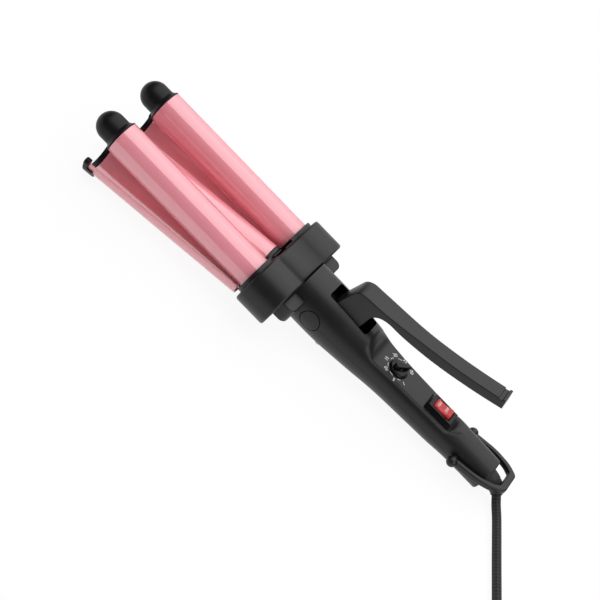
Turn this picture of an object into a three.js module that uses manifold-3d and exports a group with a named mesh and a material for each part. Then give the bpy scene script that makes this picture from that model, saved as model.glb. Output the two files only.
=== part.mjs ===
// Hair waver: two fixed barrels, a sprung wave plate that nests between them, and a round handle.
// Millimetres. The tool's own frame has x from the barrel rims towards the cord, y across the two
// barrels and z towards the dial. At the end the tool is laid on its back with +Z up.
import * as THREE from 'three';
import { mergeVertices } from 'three/addons/utils/BufferGeometryUtils.js';
import Module from 'manifold-3d';

const wasm = await Module();
wasm.setup();

// Clearance between touching pieces
const FIT = 0.3;

// Fixed barrels
const BARREL_R = 12.7;
const BARREL_WALL = 1;
const BARREL_SPACING = 54.2;
const BARREL_VISIBLE = 126.5;
const BARREL_HIDDEN = 18;
const DOME_R = 10.4;
const DOME_STRAIGHT = 6.6;
const DOME_CLEARANCE = 1;
const CAP_FLARE = 3.6;
const CAP_SPIGOT = 8;
const HEATER_START = 12;
const HEATER_LENGTH = 104;
const HEATER_BORE_R = 9;

// Collar
const COLLAR_GAP = 3.8;
const COLLAR_LENGTH = 24.3;
const COLLAR_LOBE_R = 20.2;
const COLLAR_VALLEY_Z = 12.4;
const COLLAR_WALL = 2.4;
const COLLAR_BEVEL = 1.6;
const COLLAR_PARTING_Z = -1.5;
const COLLAR_THROAT_R = 17;
const LIP_INSET = 2.4;
const LIP_WEB = 1.1;
const COLLAR_BOSS_R = 3.6;
const CARRIER_SETBACK = 8;
const CARRIER_THICKNESS = 6;
const RAIL_INNER_Y = 11.5;
const RAIL_THICKNESS = 3;
const RAIL_HALF_HEIGHT = 6;
const RAIL_LENGTH = 21;
const HANDLE_START = BARREL_VISIBLE + COLLAR_GAP + COLLAR_LENGTH + FIT;

// Clamp pivot and travel
const PIVOT_X = HANDLE_START + 20.6;
const OPEN_DEGREES = 8.1;
const PIN_R = 2.5;
const PIN_HALF_LENGTH = 17.5;
const PIVOT_CAP_R = 7.3;
const PIVOT_CAP_DEPTH = 3;
const PIVOT_CAP_GROOVE = 0.6;
const HUB_R = 8.5;
const ARM_HALF_WIDTH = 5.5;
const ARM_TOP = 4.2;
const ARM_BOTTOM = -2.6;
const ARM_CLEARANCE = 3;
const BOSS_INNER_Y = 13;
const SPRING_WIRE_R = 0.6;
const SPRING_MEAN_R = 4.2;
const SPRING_PITCH = 1.8;
const SPRING_TURNS = 3;
const SPRING_LEG = 9;

// Moving jaw
const PLATE_THICKNESS = 0.6;
const JAW_GAP = 0.3;
const RIDGE_R = 12.2;
const RIDGE_DROP = 0.8;
const JAW_FRONT = -4.8;
const JAW_REAR = BARREL_VISIBLE - 2.1;
const EDGE_BEAD_R = 0.6;
const TIP_CAP_LENGTH = 4;
const TIP_CAP_DEPTH = 1.4;
const TIP_KNOB_R = 3;
const HOLDER_R = 12.6;
const HOLDER_LENGTH = 2.6;
const HOLDER_CLEARANCE = 0.9;
const HOLDER_FLOOR = -8.4;
const SPIGOT_LENGTH = 12;
const BACK_COVER_TOP = -9;
const BACK_COVER_THICKNESS = 1.2;
const BACK_COVER_HALF_WIDTH = 15.2;
const JAW_HEATER_FLOOR = 3;

// Lever
const LEVER_HALF_WIDTH = 8.5;
const LEVER_TIP_HALF_WIDTH = 6.75;
const LEVER_LIP = 1.6;
const TONGUE_TOP = 26;
const TONGUE_BACK = 24;

// Handle
const NECK_R = 20.8;
const HANDLE_LENGTH = 180.7;
const HANDLE_END = HANDLE_START + HANDLE_LENGTH;
const END_ROUNDING = 1.2;
const HANDLE_WALL = 2.4;
const HANDLE_SIDES = 36;
const SLOT_START = PIVOT_X - 3;
const SLOT_END = PIVOT_X + 33.3;
const SLOT_HALF_WIDTH = 9;
const FACET_END = HANDLE_END - 42.6;
const FACET_Z = 9.5;
const FACET_ROUNDING = 5;
const RUN_OUT = 10;
const SHOULDER_END = HANDLE_START + 66.1;
const WING_HALF_SPAN = 35.5;
const WING_LENGTH = 9.7;
const WING_TOP = 7.8;
const WING_BOTTOM = -6;
const WING_CORNER_R = 5;
const END_HOLE_R = 6.4;

// Controls
const DIAL_X = HANDLE_START + 86.5;
const DIAL_R = 7.6;
const DIAL_SKIRT = 2.4;
const DIAL_GRIP = 2.2;
const DIAL_GRIP_R = 3.6;
const DIAL_POINTER_DEGREES = 43;
const SHAFT_R = 2.2;
const POT_R = 6.4;
const POT_NECK_R = 3.2;
const SHAFT_ABOVE = 3.4;
const BOARD_TOP = -2.4;
const BOARD_THICKNESS = 1.6;
const BOARD_START = DIAL_X - 17.4;
const BOARD_HALF_WIDTH = 9.6;
const SWITCH_X = HANDLE_END - 53.5;
const BEZEL_LENGTH = 21;
const BEZEL_WIDTH = 14.6;
const BEZEL_HEIGHT = 2.9;
const SWITCH_BODY_LENGTH = 18.6;
const SWITCH_BODY_WIDTH = 12.2;
const SWITCH_BODY_DEPTH = 13;
const BOARD_END = SWITCH_X - SWITCH_BODY_LENGTH / 2 - 6.8;
const ROCKER_LENGTH = 14.2;
const ROCKER_WIDTH = 9.4;
const ROCKER_TILT_DEGREES = 8;
const ROCKER_PIVOT_DROP = 1.9;
const ROCKER_RISE = 3.2;
const ROCKER_LOWER_R = 4;
const ROCKER_PIN_R = 0.9;
const ROCKER_PIN_LENGTH = 1.3;

// Hang loop
const LOOP_X = HANDLE_END - 25.3;
const LOOP_Z = 1.9;
const LOOP_HALF_SPAN = 18;
const LOOP_REACH = 41;
const LOOP_BALL_R = 4;
const LOOP_PEG_R = 2;
const LOOP_THICKNESS = 5;
const LOOP_ARM_WIDTH = 3.6;
const LOOP_TILT_DEGREES = 9;

// Fasteners
const SCREW_SHANK_R = 1.3;
const SCREW_HEAD_R = 2.7;
const SCREW_HEAD_HEIGHT = 1.8;
const SCREW_RECESS = 0.5;

// Cord
const CORD_R = 3.25;
const RELIEF_R = 7;
const RELIEF_TIP_R = 4.3;
const RELIEF_FLANGE = 2.6;
const CLAMP_X = HANDLE_END - 17.6;
const CLAMP_HALF_WIDTH = 8.8;
const CLAMP_SCREW_Y = 6.2;
const CLAMP_COVER = 1.2;
const CLAMP_HEAD_R = 2.2;
const COIL_MEAN_R = 35;
const COIL_PITCH = 8.2;
const COIL_TURNS_PER_LAYER = 3.5;
const COIL_LAYER_GAP = 0.8;
const CLIMB_TURNS = 0.5;
const PLUG_BODY_LENGTH = 30;
const PLUG_BODY_WIDTH = 24;
const PLUG_RELIEF_LENGTH = 16;
const BLADE_LENGTH = 16;
const BLADE_WIDTH = 6.4;
const BLADE_THICKNESS = 1.5;
const BLADE_SPACING = 12.7;

const collarStart = BARREL_VISIBLE + COLLAR_GAP;
const collarEnd = collarStart + COLLAR_LENGTH;
const barrelY = BARREL_SPACING / 2;
const barrelEnd = BARREL_VISIBLE + BARREL_HIDDEN;
const openAngle = THREE.MathUtils.degToRad(OPEN_DEGREES);
const ridgeZ = -RIDGE_DROP;
const collarScrewX = collarEnd - COLLAR_WALL - COLLAR_BOSS_R;
const collarScrewSeat = -COLLAR_VALLEY_Z;
const collarScrewTop = COLLAR_VALLEY_Z - 3;

const material = (color, roughness, metalness) =>
  new THREE.MeshStandardMaterial({ color, roughness, metalness });
const pinkMetal = () => material(0xf2a8b4, 0.35, 0.2);
const blackPlastic = () => material(0x2b2b2b, 0.55, 0);
const steel = () => material(0xb8b8b8, 0.35, 1);
const brass = () => material(0xc9a552, 0.35, 1);
const rubber = () => material(0x161616, 0.8, 0);

// Solids: three.js makes the shapes, manifold joins and cuts them
function asSolid(geometry) {
  const bare = geometry.clone();
  for (const name of ['normal', 'uv']) bare.deleteAttribute(name);
  const merged = mergeVertices(bare, 1e-4);
  const positions = new Float32Array(merged.attributes.position.array);
  const triangles = new Uint32Array(merged.index.array);
  if (signedVolume(positions, triangles) < 0) {
    for (let i = 0; i < triangles.length; i += 3) {
      [triangles[i], triangles[i + 1]] = [triangles[i + 1], triangles[i]];
    }
  }
  const mesh = new wasm.Mesh({ numProp: 3, vertProperties: positions, triVerts: triangles });
  return new wasm.Manifold(mesh);
}

function signedVolume(positions, triangles) {
  const corner = (i) => new THREE.Vector3().fromArray(positions, 3 * triangles[i]);
  let sum = 0;
  for (let i = 0; i < triangles.length; i += 3) sum += corner(i).dot(corner(i + 1).cross(corner(i + 2)));
  return sum / 6;
}

function asGeometry(solid) {
  const mesh = solid.getMesh();
  const geometry = new THREE.BufferGeometry();
  geometry.setAttribute('position', new THREE.BufferAttribute(new Float32Array(mesh.vertProperties), 3));
  geometry.setIndex(new THREE.BufferAttribute(new Uint32Array(mesh.triVerts), 1));
  geometry.computeVertexNormals();
  return geometry;
}

const join = (first, ...others) => others.reduce((sum, other) => sum.add(other), first);
const cut = (first, ...others) => others.reduce((rest, other) => rest.subtract(other), first);

function box(x0, x1, y0, y1, z0, z1) {
  const geometry = new THREE.BoxGeometry(x1 - x0, y1 - y0, z1 - z0);
  geometry.translate((x0 + x1) / 2, (y0 + y1) / 2, (z0 + z1) / 2);
  return asSolid(geometry);
}

// A cylinder whose axis runs along x, y or z from one end to the other
function rod(axis, radius, from, to, a, b, sides = 24, endRadius = radius) {
  const geometry = new THREE.CylinderGeometry(endRadius, radius, to - from, sides);
  geometry.translate(0, (from + to) / 2, 0);
  if (axis === 'x') geometry.rotateZ(-Math.PI / 2).translate(0, a, b);
  if (axis === 'y') geometry.translate(a, 0, b);
  if (axis === 'z') geometry.rotateX(Math.PI / 2).translate(a, b, 0);
  return asSolid(geometry);
}

function extrude(shape, depth, curveSegments = 12, bevel = 0) {
  return new THREE.ExtrudeGeometry(shape, {
    depth: depth - 2 * bevel,
    curveSegments,
    bevelEnabled: bevel > 0,
    bevelSize: bevel,
    bevelOffset: -bevel,
    bevelThickness: bevel,
    bevelSegments: 2,
  }).translate(0, 0, bevel);
}

// An outline drawn in y and z, extruded along x
function alongX(shape, x0, x1, curveSegments, bevel) {
  const geometry = extrude(shape, x1 - x0, curveSegments, bevel);
  const basis = new THREE.Matrix4().set(0, 0, 1, x0, 1, 0, 0, 0, 0, 1, 0, 0, 0, 0, 0, 1);
  return asSolid(geometry.applyMatrix4(basis));
}

// An outline drawn in x and z, extruded along y
function alongY(shape, y0, y1, curveSegments, bevel) {
  const geometry = extrude(shape, y1 - y0, curveSegments, bevel);
  const basis = new THREE.Matrix4().set(1, 0, 0, 0, 0, 0, -1, y1, 0, 1, 0, 0, 0, 0, 0, 1);
  return asSolid(geometry.applyMatrix4(basis));
}

function alongZ(shape, z0, z1, curveSegments, bevel) {
  return asSolid(extrude(shape, z1 - z0, curveSegments, bevel).translate(0, 0, z0));
}

const outline = (points) => new THREE.Shape(points.map(([u, v]) => new THREE.Vector2(u, v)));

// A body of revolution round an axis along x, through points of x and radius
function turned(points, y, z, segments) {
  const profile = points.map(([x, r]) => new THREE.Vector2(r, x));
  return asSolid(new THREE.LatheGeometry(profile, segments).rotateZ(-Math.PI / 2).translate(0, y, z));
}

// A closed skin over rings that all have the same number of points
function skin(rings) {
  const count = rings[0].length;
  const points = rings.flat();
  const index = [];
  for (let i = 0; i + 1 < rings.length; i += 1) {
    for (let j = 0; j < count; j += 1) {
      const a = i * count + j;
      const b = i * count + ((j + 1) % count);
      index.push(a, b, a + count, b, b + count, a + count);
    }
  }
  const last = (rings.length - 1) * count;
  for (let j = 1; j + 1 < count; j += 1) {
    index.push(0, j + 1, j, last, last + j, last + j + 1);
  }
  const geometry = new THREE.BufferGeometry();
  geometry.setAttribute('position', new THREE.Float32BufferAttribute(points.flatMap((p) => p.toArray()), 3));
  geometry.setIndex(index);
  return geometry;
}

// A round tube through points, with a radius for each of them and a ring that never twists
function sweep(points, radii, sides, startDirection, endDirection) {
  const rings = [];
  let side = null;
  points.forEach((point, i) => {
    const before = points[Math.max(i - 1, 0)];
    const after = points[Math.min(i + 1, points.length - 1)];
    const along = after.clone().sub(before).normalize();
    if (i === 0 && startDirection) along.copy(startDirection);
    if (i === points.length - 1 && endDirection) along.copy(endDirection);
    if (!side) side = new THREE.Vector3(0, 0, 1);
    side.addScaledVector(along, -side.dot(along)).normalize();
    const across = along.clone().cross(side);
    rings.push(Array.from({ length: sides }, (_, j) => {
      const angle = (2 * Math.PI * (j + 0.5)) / sides;
      const radius = radii[i];
      return point.clone()
        .addScaledVector(side, radius * Math.cos(angle))
        .addScaledVector(across, radius * Math.sin(angle));
    }));
  });
  return skin(rings);
}

const tool = new THREE.Group();
const clamp = new THREE.Group();
const layout = new THREE.Group();

function place(parent, name, solid, surface) {
  const geometry = solid.isBufferGeometry ? solid : asGeometry(solid);
  const mesh = new THREE.Mesh(geometry, surface);
  mesh.name = name;
  parent.add(mesh);
  return mesh;
}

// Pieces of the clamp are drawn closed, in the tool's frame, and turned open about the pivot
clamp.position.set(PIVOT_X, 0, 0);
clamp.rotation.y = -openAngle;
const clampPieces = new THREE.Group();
clampPieces.position.x = -PIVOT_X;
clamp.add(clampPieces);
tool.add(clamp);

// Barrels, their end caps and the heaters inside
function barrel() {
  const outer = rod('x', BARREL_R, 0, barrelEnd, 0, 0, 36);
  return cut(outer, rod('x', BARREL_R - BARREL_WALL, -1, barrelEnd + 1, 0, 0, 36));
}

function barrelCap() {
  const domeX = -CAP_FLARE - DOME_STRAIGHT;
  const spigotR = BARREL_R - BARREL_WALL - FIT;
  const profile = [[CAP_SPIGOT, 0], [CAP_SPIGOT, spigotR], [-FIT, spigotR], [-FIT, BARREL_R]];
  profile.push([-0.3 * CAP_FLARE, BARREL_R - 0.3], [-0.7 * CAP_FLARE, DOME_R + 0.6]);
  profile.push([-CAP_FLARE, DOME_R + 0.1]);
  const arcSteps = 6;
  for (let i = 0; i <= arcSteps; i += 1) {
    const angle = (i / arcSteps) * (Math.PI / 2);
    profile.push([domeX - DOME_R * Math.sin(angle), DOME_R * Math.cos(angle)]);
  }
  profile[profile.length - 1][1] = 0;
  return turned(profile, 0, 0, 24);
}

function barrelHeater() {
  const radius = BARREL_R - BARREL_WALL - FIT;
  const outer = rod('x', radius, HEATER_START, HEATER_START + HEATER_LENGTH, 0, 0, 24);
  return cut(outer, rod('x', HEATER_BORE_R, HEATER_START - 1, HEATER_START + HEATER_LENGTH + 1, 0, 0, 12));
}

for (const [side, y] of [['left', -barrelY], ['right', barrelY]]) {
  place(tool, `barrel_${side}`, barrel(), pinkMetal()).position.y = y;
  place(tool, `barrel_cap_${side}`, barrelCap(), blackPlastic()).position.y = y;
  place(tool, `barrel_heater_${side}`, barrelHeater(), steel()).position.y = y;
}

// Collar: two lobes round the barrels and a shallow valley between them
function collarOutline(inset) {
  const lobeR = COLLAR_LOBE_R - inset;
  const valleyZ = COLLAR_VALLEY_Z - inset;
  const valleyR = (barrelY ** 2 + valleyZ ** 2 - lobeR ** 2) / (2 * (lobeR - valleyZ));
  const valleyCentre = valleyZ + valleyR;
  const tangent = Math.atan2(valleyCentre, barrelY);
  const shape = new THREE.Shape();
  shape.absarc(barrelY, 0, lobeR, -(Math.PI - tangent), Math.PI - tangent, false);
  shape.absarc(0, valleyCentre, valleyR, -tangent, tangent - Math.PI, true);
  shape.absarc(-barrelY, 0, lobeR, tangent, 2 * Math.PI - tangent, false);
  shape.absarc(0, -valleyCentre, valleyR, Math.PI - tangent, tangent, true);
  return shape;
}

function collarShells() {
  const outer = alongX(collarOutline(0), collarStart, collarEnd, 14, COLLAR_BEVEL);
  const rearWall = collarEnd - COLLAR_WALL;
  const inner = alongX(collarOutline(COLLAR_WALL), collarStart - 1, rearWall, 10, 0);
  const throat = rod('x', COLLAR_THROAT_R, rearWall - 1, collarEnd + 1, 0, 0, 28)
    .intersect(alongX(collarOutline(COLLAR_WALL), rearWall - 2, collarEnd + 2, 10, 0));
  let ring = cut(outer, inner, throat);
  for (const y of [-barrelY, barrelY]) {
    ring = join(ring, rod('z', COLLAR_BOSS_R, -COLLAR_LOBE_R + 1, COLLAR_LOBE_R - 1, collarScrewX, y, 14));
    ring = cut(ring, rod('z', SCREW_SHANK_R + FIT, -30, collarScrewTop + FIT, collarScrewX, y, 10));
    ring = cut(ring, rod('z', SCREW_HEAD_R + FIT, -30, collarScrewSeat, collarScrewX, y, 14));
  }
  return halves(ring, COLLAR_PARTING_Z);
}

// The upper and lower halves of a shell, with the fit gap between them
function halves(shell, z) {
  const reach = 400;
  const above = box(-reach, reach, -reach, reach, z + FIT / 2, reach);
  const below = box(-reach, reach, -reach, reach, -reach, z - FIT / 2);
  return { front: shell.intersect(above), rear: shell.intersect(below) };
}

const collar = collarShells();
place(tool, 'collar_front_shell', collar.front, blackPlastic());
place(tool, 'collar_rear_shell', collar.rear, blackPlastic());

// A screw along z with its head below, seated on the height given
function screw(name, x, y, seat, tip) {
  const shank = rod('z', SCREW_SHANK_R, seat - SCREW_HEAD_HEIGHT, tip, x, y, 8);
  const head = rod('z', SCREW_HEAD_R, seat - FIT - SCREW_HEAD_HEIGHT, seat - FIT, x, y, 12);
  return [name, join(shank, head)];
}

[-barrelY, barrelY].forEach((y, i) => {
  place(tool, ...screw(`collar_screw_${i + 1}`, collarScrewX, y, collarScrewSeat, collarScrewTop), steel());
});

// The lip plate closes the collar's front, and the carrier inside holds both barrels
function lipPlate() {
  const back = collarStart - FIT;
  const plate = alongX(collarOutline(LIP_INSET), BARREL_VISIBLE, back, 14, 0);
  const front = BARREL_VISIBLE - 1;
  const holes = [-barrelY, barrelY].map((y) => rod('x', BARREL_R + FIT, front, back + 1, y, 0, 36));
  const reach = HOLDER_R + HOLDER_CLEARANCE;
  const armReach = ARM_HALF_WIDTH + ARM_CLEARANCE;
  const recess = box(front, back - LIP_WEB, -reach, reach, -COLLAR_LOBE_R, COLLAR_LOBE_R);
  const holderPath = box(front, back + 1, -reach, reach, -COLLAR_LOBE_R, -2);
  const armPath = box(front, back + 1, -armReach, armReach, -COLLAR_LOBE_R, ARM_TOP + ARM_CLEARANCE);
  return cut(plate, ...holes, recess, holderPath, armPath);
}

function barrelCarrier() {
  const start = collarStart + CARRIER_SETBACK;
  const railEnd = start + CARRIER_THICKNESS + RAIL_LENGTH;
  let plate = alongX(collarOutline(COLLAR_WALL + FIT), start, start + CARRIER_THICKNESS, 10, 0);
  for (const side of [-1, 1]) {
    const near = side * RAIL_INNER_Y;
    const far = side * (RAIL_INNER_Y + RAIL_THICKNESS);
    const [y0, y1] = [Math.min(near, far), Math.max(near, far)];
    plate = join(plate, box(start + 1, railEnd, y0, y1, -RAIL_HALF_HEIGHT, RAIL_HALF_HEIGHT));
  }
  const hole = (y) => rod('x', BARREL_R + FIT, start - 1, barrelEnd + FIT, y, 0, 36);
  const half = ARM_HALF_WIDTH + ARM_CLEARANCE;
  const armPath = box(start - 1, railEnd, -half, half, -COLLAR_LOBE_R, ARM_TOP + ARM_CLEARANCE);
  return cut(plate, hole(-barrelY), hole(barrelY), armPath);
}

place(tool, 'collar_lip_plate', lipPlate(), blackPlastic());
place(tool, 'barrel_carrier', barrelCarrier(), steel());

// Moving jaw: a sheet that rounds both barrels from behind and rises in a ridge between them.
// Its middle line is two arcs round the barrels, one round the ridge and their common tangents.
const troughMiddle = BARREL_R + JAW_GAP + PLATE_THICKNESS / 2;
const ridgeMiddle = RIDGE_R - PLATE_THICKNESS / 2;

function jawMiddleLine(rimDegrees = 180) {
  const lean = Math.atan2(ridgeZ, barrelY);
  const tangent = lean - Math.acos((troughMiddle + ridgeMiddle) / Math.hypot(barrelY, ridgeZ));
  const half = [];
  const arc = (y, z, radius, from, to, steps, turn) => {
    for (let i = 0; i <= steps; i += 1) {
      const angle = from + ((to - from) * i) / steps;
      const normal = new THREE.Vector2(Math.cos(angle), Math.sin(angle)).multiplyScalar(turn);
      half.push({ y: y + radius * Math.cos(angle), z: z + radius * Math.sin(angle), normal });
    }
  };
  const rim = THREE.MathUtils.degToRad(rimDegrees);
  arc(-barrelY, 0, troughMiddle, rim, 2 * Math.PI + tangent, 14, -1);
  arc(0, ridgeZ, ridgeMiddle, Math.PI + tangent, Math.PI / 2, 7, 1);
  const mirrored = half.slice(0, -1).reverse()
    .map(({ y, z, normal }) => ({ y: -y, z, normal: new THREE.Vector2(-normal.x, normal.y) }));
  return [...half, ...mirrored];
}

// The area between two offsets of the middle line: above it positive, below it negative
function jawBand(above, below, rimDegrees) {
  const line = jawMiddleLine(rimDegrees);
  const offset = (amount) => line.map(({ y, z, normal }) => [y + amount * normal.x, z + amount * normal.y]);
  return outline([...offset(below), ...offset(above).reverse()]);
}

const halfPlate = PLATE_THICKNESS / 2;
const rimY = barrelY + BARREL_R + JAW_GAP + EDGE_BEAD_R;

function wavePlate() {
  const sheet = alongX(jawBand(halfPlate, -halfPlate), JAW_FRONT, JAW_REAR, 12, 0);
  const beads = [-rimY, rimY].map((y) => rod('x', EDGE_BEAD_R, JAW_FRONT, JAW_REAR, y, 0, 10));
  return join(sheet, ...beads);
}

function jawTipCap() {
  const back = JAW_FRONT - FIT;
  const front = back - TIP_CAP_LENGTH;
  const face = alongX(jawBand(halfPlate, -halfPlate - TIP_CAP_DEPTH), front, back, 12, 0);
  const under = jawBand(-halfPlate - FIT, -halfPlate - TIP_CAP_DEPTH, 200);
  const lining = alongX(under, back - 1, JAW_FRONT + CAP_SPIGOT / 2, 12, 0);
  const knobs = [-rimY, rimY].map((y) => rod('x', TIP_KNOB_R, front, back, y, 0, 14));
  const clearR = DOME_R + DOME_CLEARANCE;
  const clearOfDomes = [-barrelY, barrelY].map((y) => rod('x', clearR, front - 1, back + 1, y, 0, 36));
  return cut(join(face, lining, ...knobs), ...clearOfDomes);
}

// The part of a round section that lies above a floor
function roundAbove(radius, floor, x0, x1, segments) {
  const edge = Math.asin((floor - ridgeZ) / radius);
  const shape = new THREE.Shape();
  shape.absarc(0, ridgeZ, radius, edge, Math.PI - edge, false);
  return alongX(shape, x0, x1, segments, 0);
}

function jawHolder() {
  const start = JAW_REAR + FIT;
  const flange = roundAbove(HOLDER_R, HOLDER_FLOOR, start, start + HOLDER_LENGTH, 14);
  const spigotR = RIDGE_R - PLATE_THICKNESS - FIT;
  const spigot = roundAbove(spigotR, HOLDER_FLOOR, JAW_REAR - SPIGOT_LENGTH, start + 1, 14);
  const reach = ARM_HALF_WIDTH + FIT;
  const pocketStart = JAW_REAR - SPIGOT_LENGTH - 1;
  const pocket = box(pocketStart, PIVOT_X, -reach, reach, ARM_BOTTOM - FIT, ARM_TOP + FIT);
  return cut(join(flange, spigot), pocket);
}

function jawHeater() {
  const radius = RIDGE_R - PLATE_THICKNESS - FIT;
  return roundAbove(radius, JAW_HEATER_FLOOR, JAW_FRONT + 8, JAW_REAR - SPIGOT_LENGTH - 2, 14);
}

function jawBackCover() {
  const front = JAW_FRONT + CAP_SPIGOT / 2 + FIT;
  const floor = BACK_COVER_TOP - BACK_COVER_THICKNESS;
  const width = BACK_COVER_HALF_WIDTH;
  const cover = box(front, JAW_REAR, -width, width, floor, BACK_COVER_TOP);
  const trough = BARREL_R + JAW_GAP + PLATE_THICKNESS + FIT;
  const sides = [-barrelY, barrelY].map((y) => rod('x', trough, front - 1, JAW_REAR + 1, y, 0, 44));
  return cut(cover, ...sides);
}

place(clampPieces, 'wave_plate', wavePlate(), pinkMetal());
place(clampPieces, 'jaw_tip_cap', jawTipCap(), blackPlastic());
place(clampPieces, 'jaw_base_holder', jawHolder(), blackPlastic());
place(clampPieces, 'jaw_heater', jawHeater(), steel());
place(clampPieces, 'jaw_back_cover', jawBackCover(), pinkMetal());

// The arm turns on the pin: a bar to the jaw, a hub, and a tongue up into the lever
function tongue(margin) {
  const sides = [
    [3.8 - margin, 4 - margin], [11.5 - margin, TONGUE_TOP + margin],
    [TONGUE_BACK + margin, TONGUE_TOP + margin], [TONGUE_BACK + margin, 13 - margin], [6, -3 - margin],
  ];
  return outline(sides.map(([x, z]) => [PIVOT_X + x, z]));
}

function clampArm() {
  const half = ARM_HALF_WIDTH;
  const bar = box(JAW_REAR - SPIGOT_LENGTH + 4, PIVOT_X, -half, half, ARM_BOTTOM, ARM_TOP);
  const hub = rod('y', HUB_R, -half, half, PIVOT_X, 0, 28);
  const up = alongY(tongue(0), -half, half);
  return cut(join(bar, hub, up), rod('y', PIN_R + FIT, -20, 20, PIVOT_X, 0, 20), leverBolt(FIT));
}

function leverBolt(margin) {
  const half = LEVER_HALF_WIDTH - 0.4 + margin;
  return rod('y', SCREW_SHANK_R + margin, -half, half, PIVOT_X + 17, 19, 10);
}

// The lever's side outline with the clamp closed, from the block's foot over the top to the lip
function leverOutline() {
  const shape = new THREE.Shape();
  shape.moveTo(PIVOT_X + 4.5, 13);
  shape.lineTo(PIVOT_X + 11.6, 33);
  shape.quadraticCurveTo(PIVOT_X + 13.4, 37.6, PIVOT_X + 20, 38);
  shape.quadraticCurveTo(PIVOT_X + 60, 35, PIVOT_X + 99, 38.8);
  shape.quadraticCurveTo(PIVOT_X + 114, 40.4, PIVOT_X + 128.8, 42.8);
  shape.lineTo(PIVOT_X + 129.2, 41.8);
  shape.lineTo(PIVOT_X + 131.8, 42.3);
  shape.lineTo(PIVOT_X + 132.2, 42.3 + LEVER_LIP);
  shape.lineTo(PIVOT_X + 134, 42.6 + LEVER_LIP);
  shape.lineTo(PIVOT_X + 135.2, 36.5);
  shape.quadraticCurveTo(PIVOT_X + 105, 30.6, PIVOT_X + 79, 29.2);
  shape.quadraticCurveTo(PIVOT_X + 60, 28.4, PIVOT_X + 46, 31.2);
  shape.quadraticCurveTo(PIVOT_X + 34, 33, PIVOT_X + 30.6, 25);
  shape.lineTo(PIVOT_X + 28.6, 13);
  return shape;
}

// Seen from above the block is as wide as the slot allows and the arm tapers to its end
function leverPlan() {
  const block = LEVER_HALF_WIDTH;
  const tip = LEVER_TIP_HALF_WIDTH;
  const side = [[0, -block], [32, -block], [72, -tip], [140, -tip]];
  const points = [...side, ...side.map(([x, y]) => [x, -y]).reverse()];
  return outline(points.map(([x, y]) => [PIVOT_X + x, y]));
}

function clampLever() {
  const body = alongY(leverOutline(), -LEVER_HALF_WIDTH, LEVER_HALF_WIDTH, 8, 0);
  const reach = ARM_HALF_WIDTH + FIT;
  const pocket = alongY(tongue(FIT), -reach, reach);
  return cut(body.intersect(alongZ(leverPlan(), 0, 60)), pocket, leverBolt(FIT));
}

place(clampPieces, 'clamp_arm', clampArm(), steel());
place(clampPieces, 'clamp_lever', clampLever(), blackPlastic());
place(clampPieces, 'lever_bolt', leverBolt(0), steel());

// Handle: round, tapering, with a flat facet for the controls and a slot for the lever.
// Each station gives the distance from the handle's start, the radius and how far the middle is raised.
const HANDLE_STATIONS = [
  [0, NECK_R, 0], [25.1, NECK_R, 0], [38.1, 20.3, 0], [47.1, 19.5, 0], [63.1, 18.1, 0], [78.1, 16.5, 0],
  [92.1, 15.5, 0], [HANDLE_LENGTH - 65.6, 14.8, 0.3], [HANDLE_LENGTH - 45.6, 14.2, 0.6],
  [HANDLE_LENGTH - 31.6, 13.4, 0.9], [HANDLE_LENGTH - 15.6, 13.1, 0.8],
  [HANDLE_LENGTH - END_ROUNDING, 12.9, 0.5], [HANDLE_LENGTH, 12, 0.5],
].map(([x, radius, middle]) => [HANDLE_START + x, radius, middle]);

function handleAt(x) {
  const last = HANDLE_STATIONS.length - 1;
  const next = Math.min(Math.max(HANDLE_STATIONS.findIndex(([at]) => at >= x), 1), last);
  const [x0, r0, z0] = HANDLE_STATIONS[next - 1];
  const [x1, r1, z1] = HANDLE_STATIONS[next];
  const t = THREE.MathUtils.clamp((x - x0) / (x1 - x0), 0, 1);
  return { radius: r0 + t * (r1 - r0), middle: z0 + t * (z1 - z0) };
}

// The top is cut away to the facet between a steep shoulder and a shallow run-out
function topAt(x) {
  const down = THREE.MathUtils.smoothstep(x, SLOT_END + 1, SHOULDER_END);
  const up = THREE.MathUtils.smoothstep(x, FACET_END, FACET_END + RUN_OUT);
  const uncut = NECK_R + FACET_ROUNDING;
  return uncut + (FACET_Z - uncut) * down + (NECK_R - FACET_Z) * up;
}

// The lower of two heights, rounded where they meet
function softMin(a, b, rounding) {
  const overlap = Math.max(rounding - Math.abs(a - b), 0) / rounding;
  return Math.min(a, b) - (overlap * overlap * rounding) / 4;
}

const RUN_OUT_STEPS = [0, 0.25, 0.5, 0.75, 1].map((share) => FACET_END + share * RUN_OUT);
const SHOULDER_STEPS = [25.1, 38.1, 47.1, 53.9, 56.1, 58.1, 60.1, 62.1, 64.1, 66.1, 77.1, 92.1];
const RING_STEPS = [
  ...SHOULDER_STEPS.map((x) => HANDLE_START + x), HANDLE_END - 65.6, ...RUN_OUT_STEPS,
  HANDLE_END - 15.6, HANDLE_END - END_ROUNDING,
];

function handleBody(inset, from, to, sides) {
  const stops = [from, ...RING_STEPS, to];
  const rings = stops.filter((x, i) => i === 0 || (x > from && x <= to)).map((x) => {
    const { radius, middle } = handleAt(x);
    return Array.from({ length: sides }, (_, j) => {
      const angle = (2 * Math.PI * (j + 0.5)) / sides;
      const round = middle + (radius - inset) * Math.sin(angle);
      const z = softMin(round, topAt(x) - inset, FACET_ROUNDING);
      return new THREE.Vector3(x, (radius - inset) * Math.cos(angle), z);
    });
  });
  return asSolid(skin(rings));
}

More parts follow.
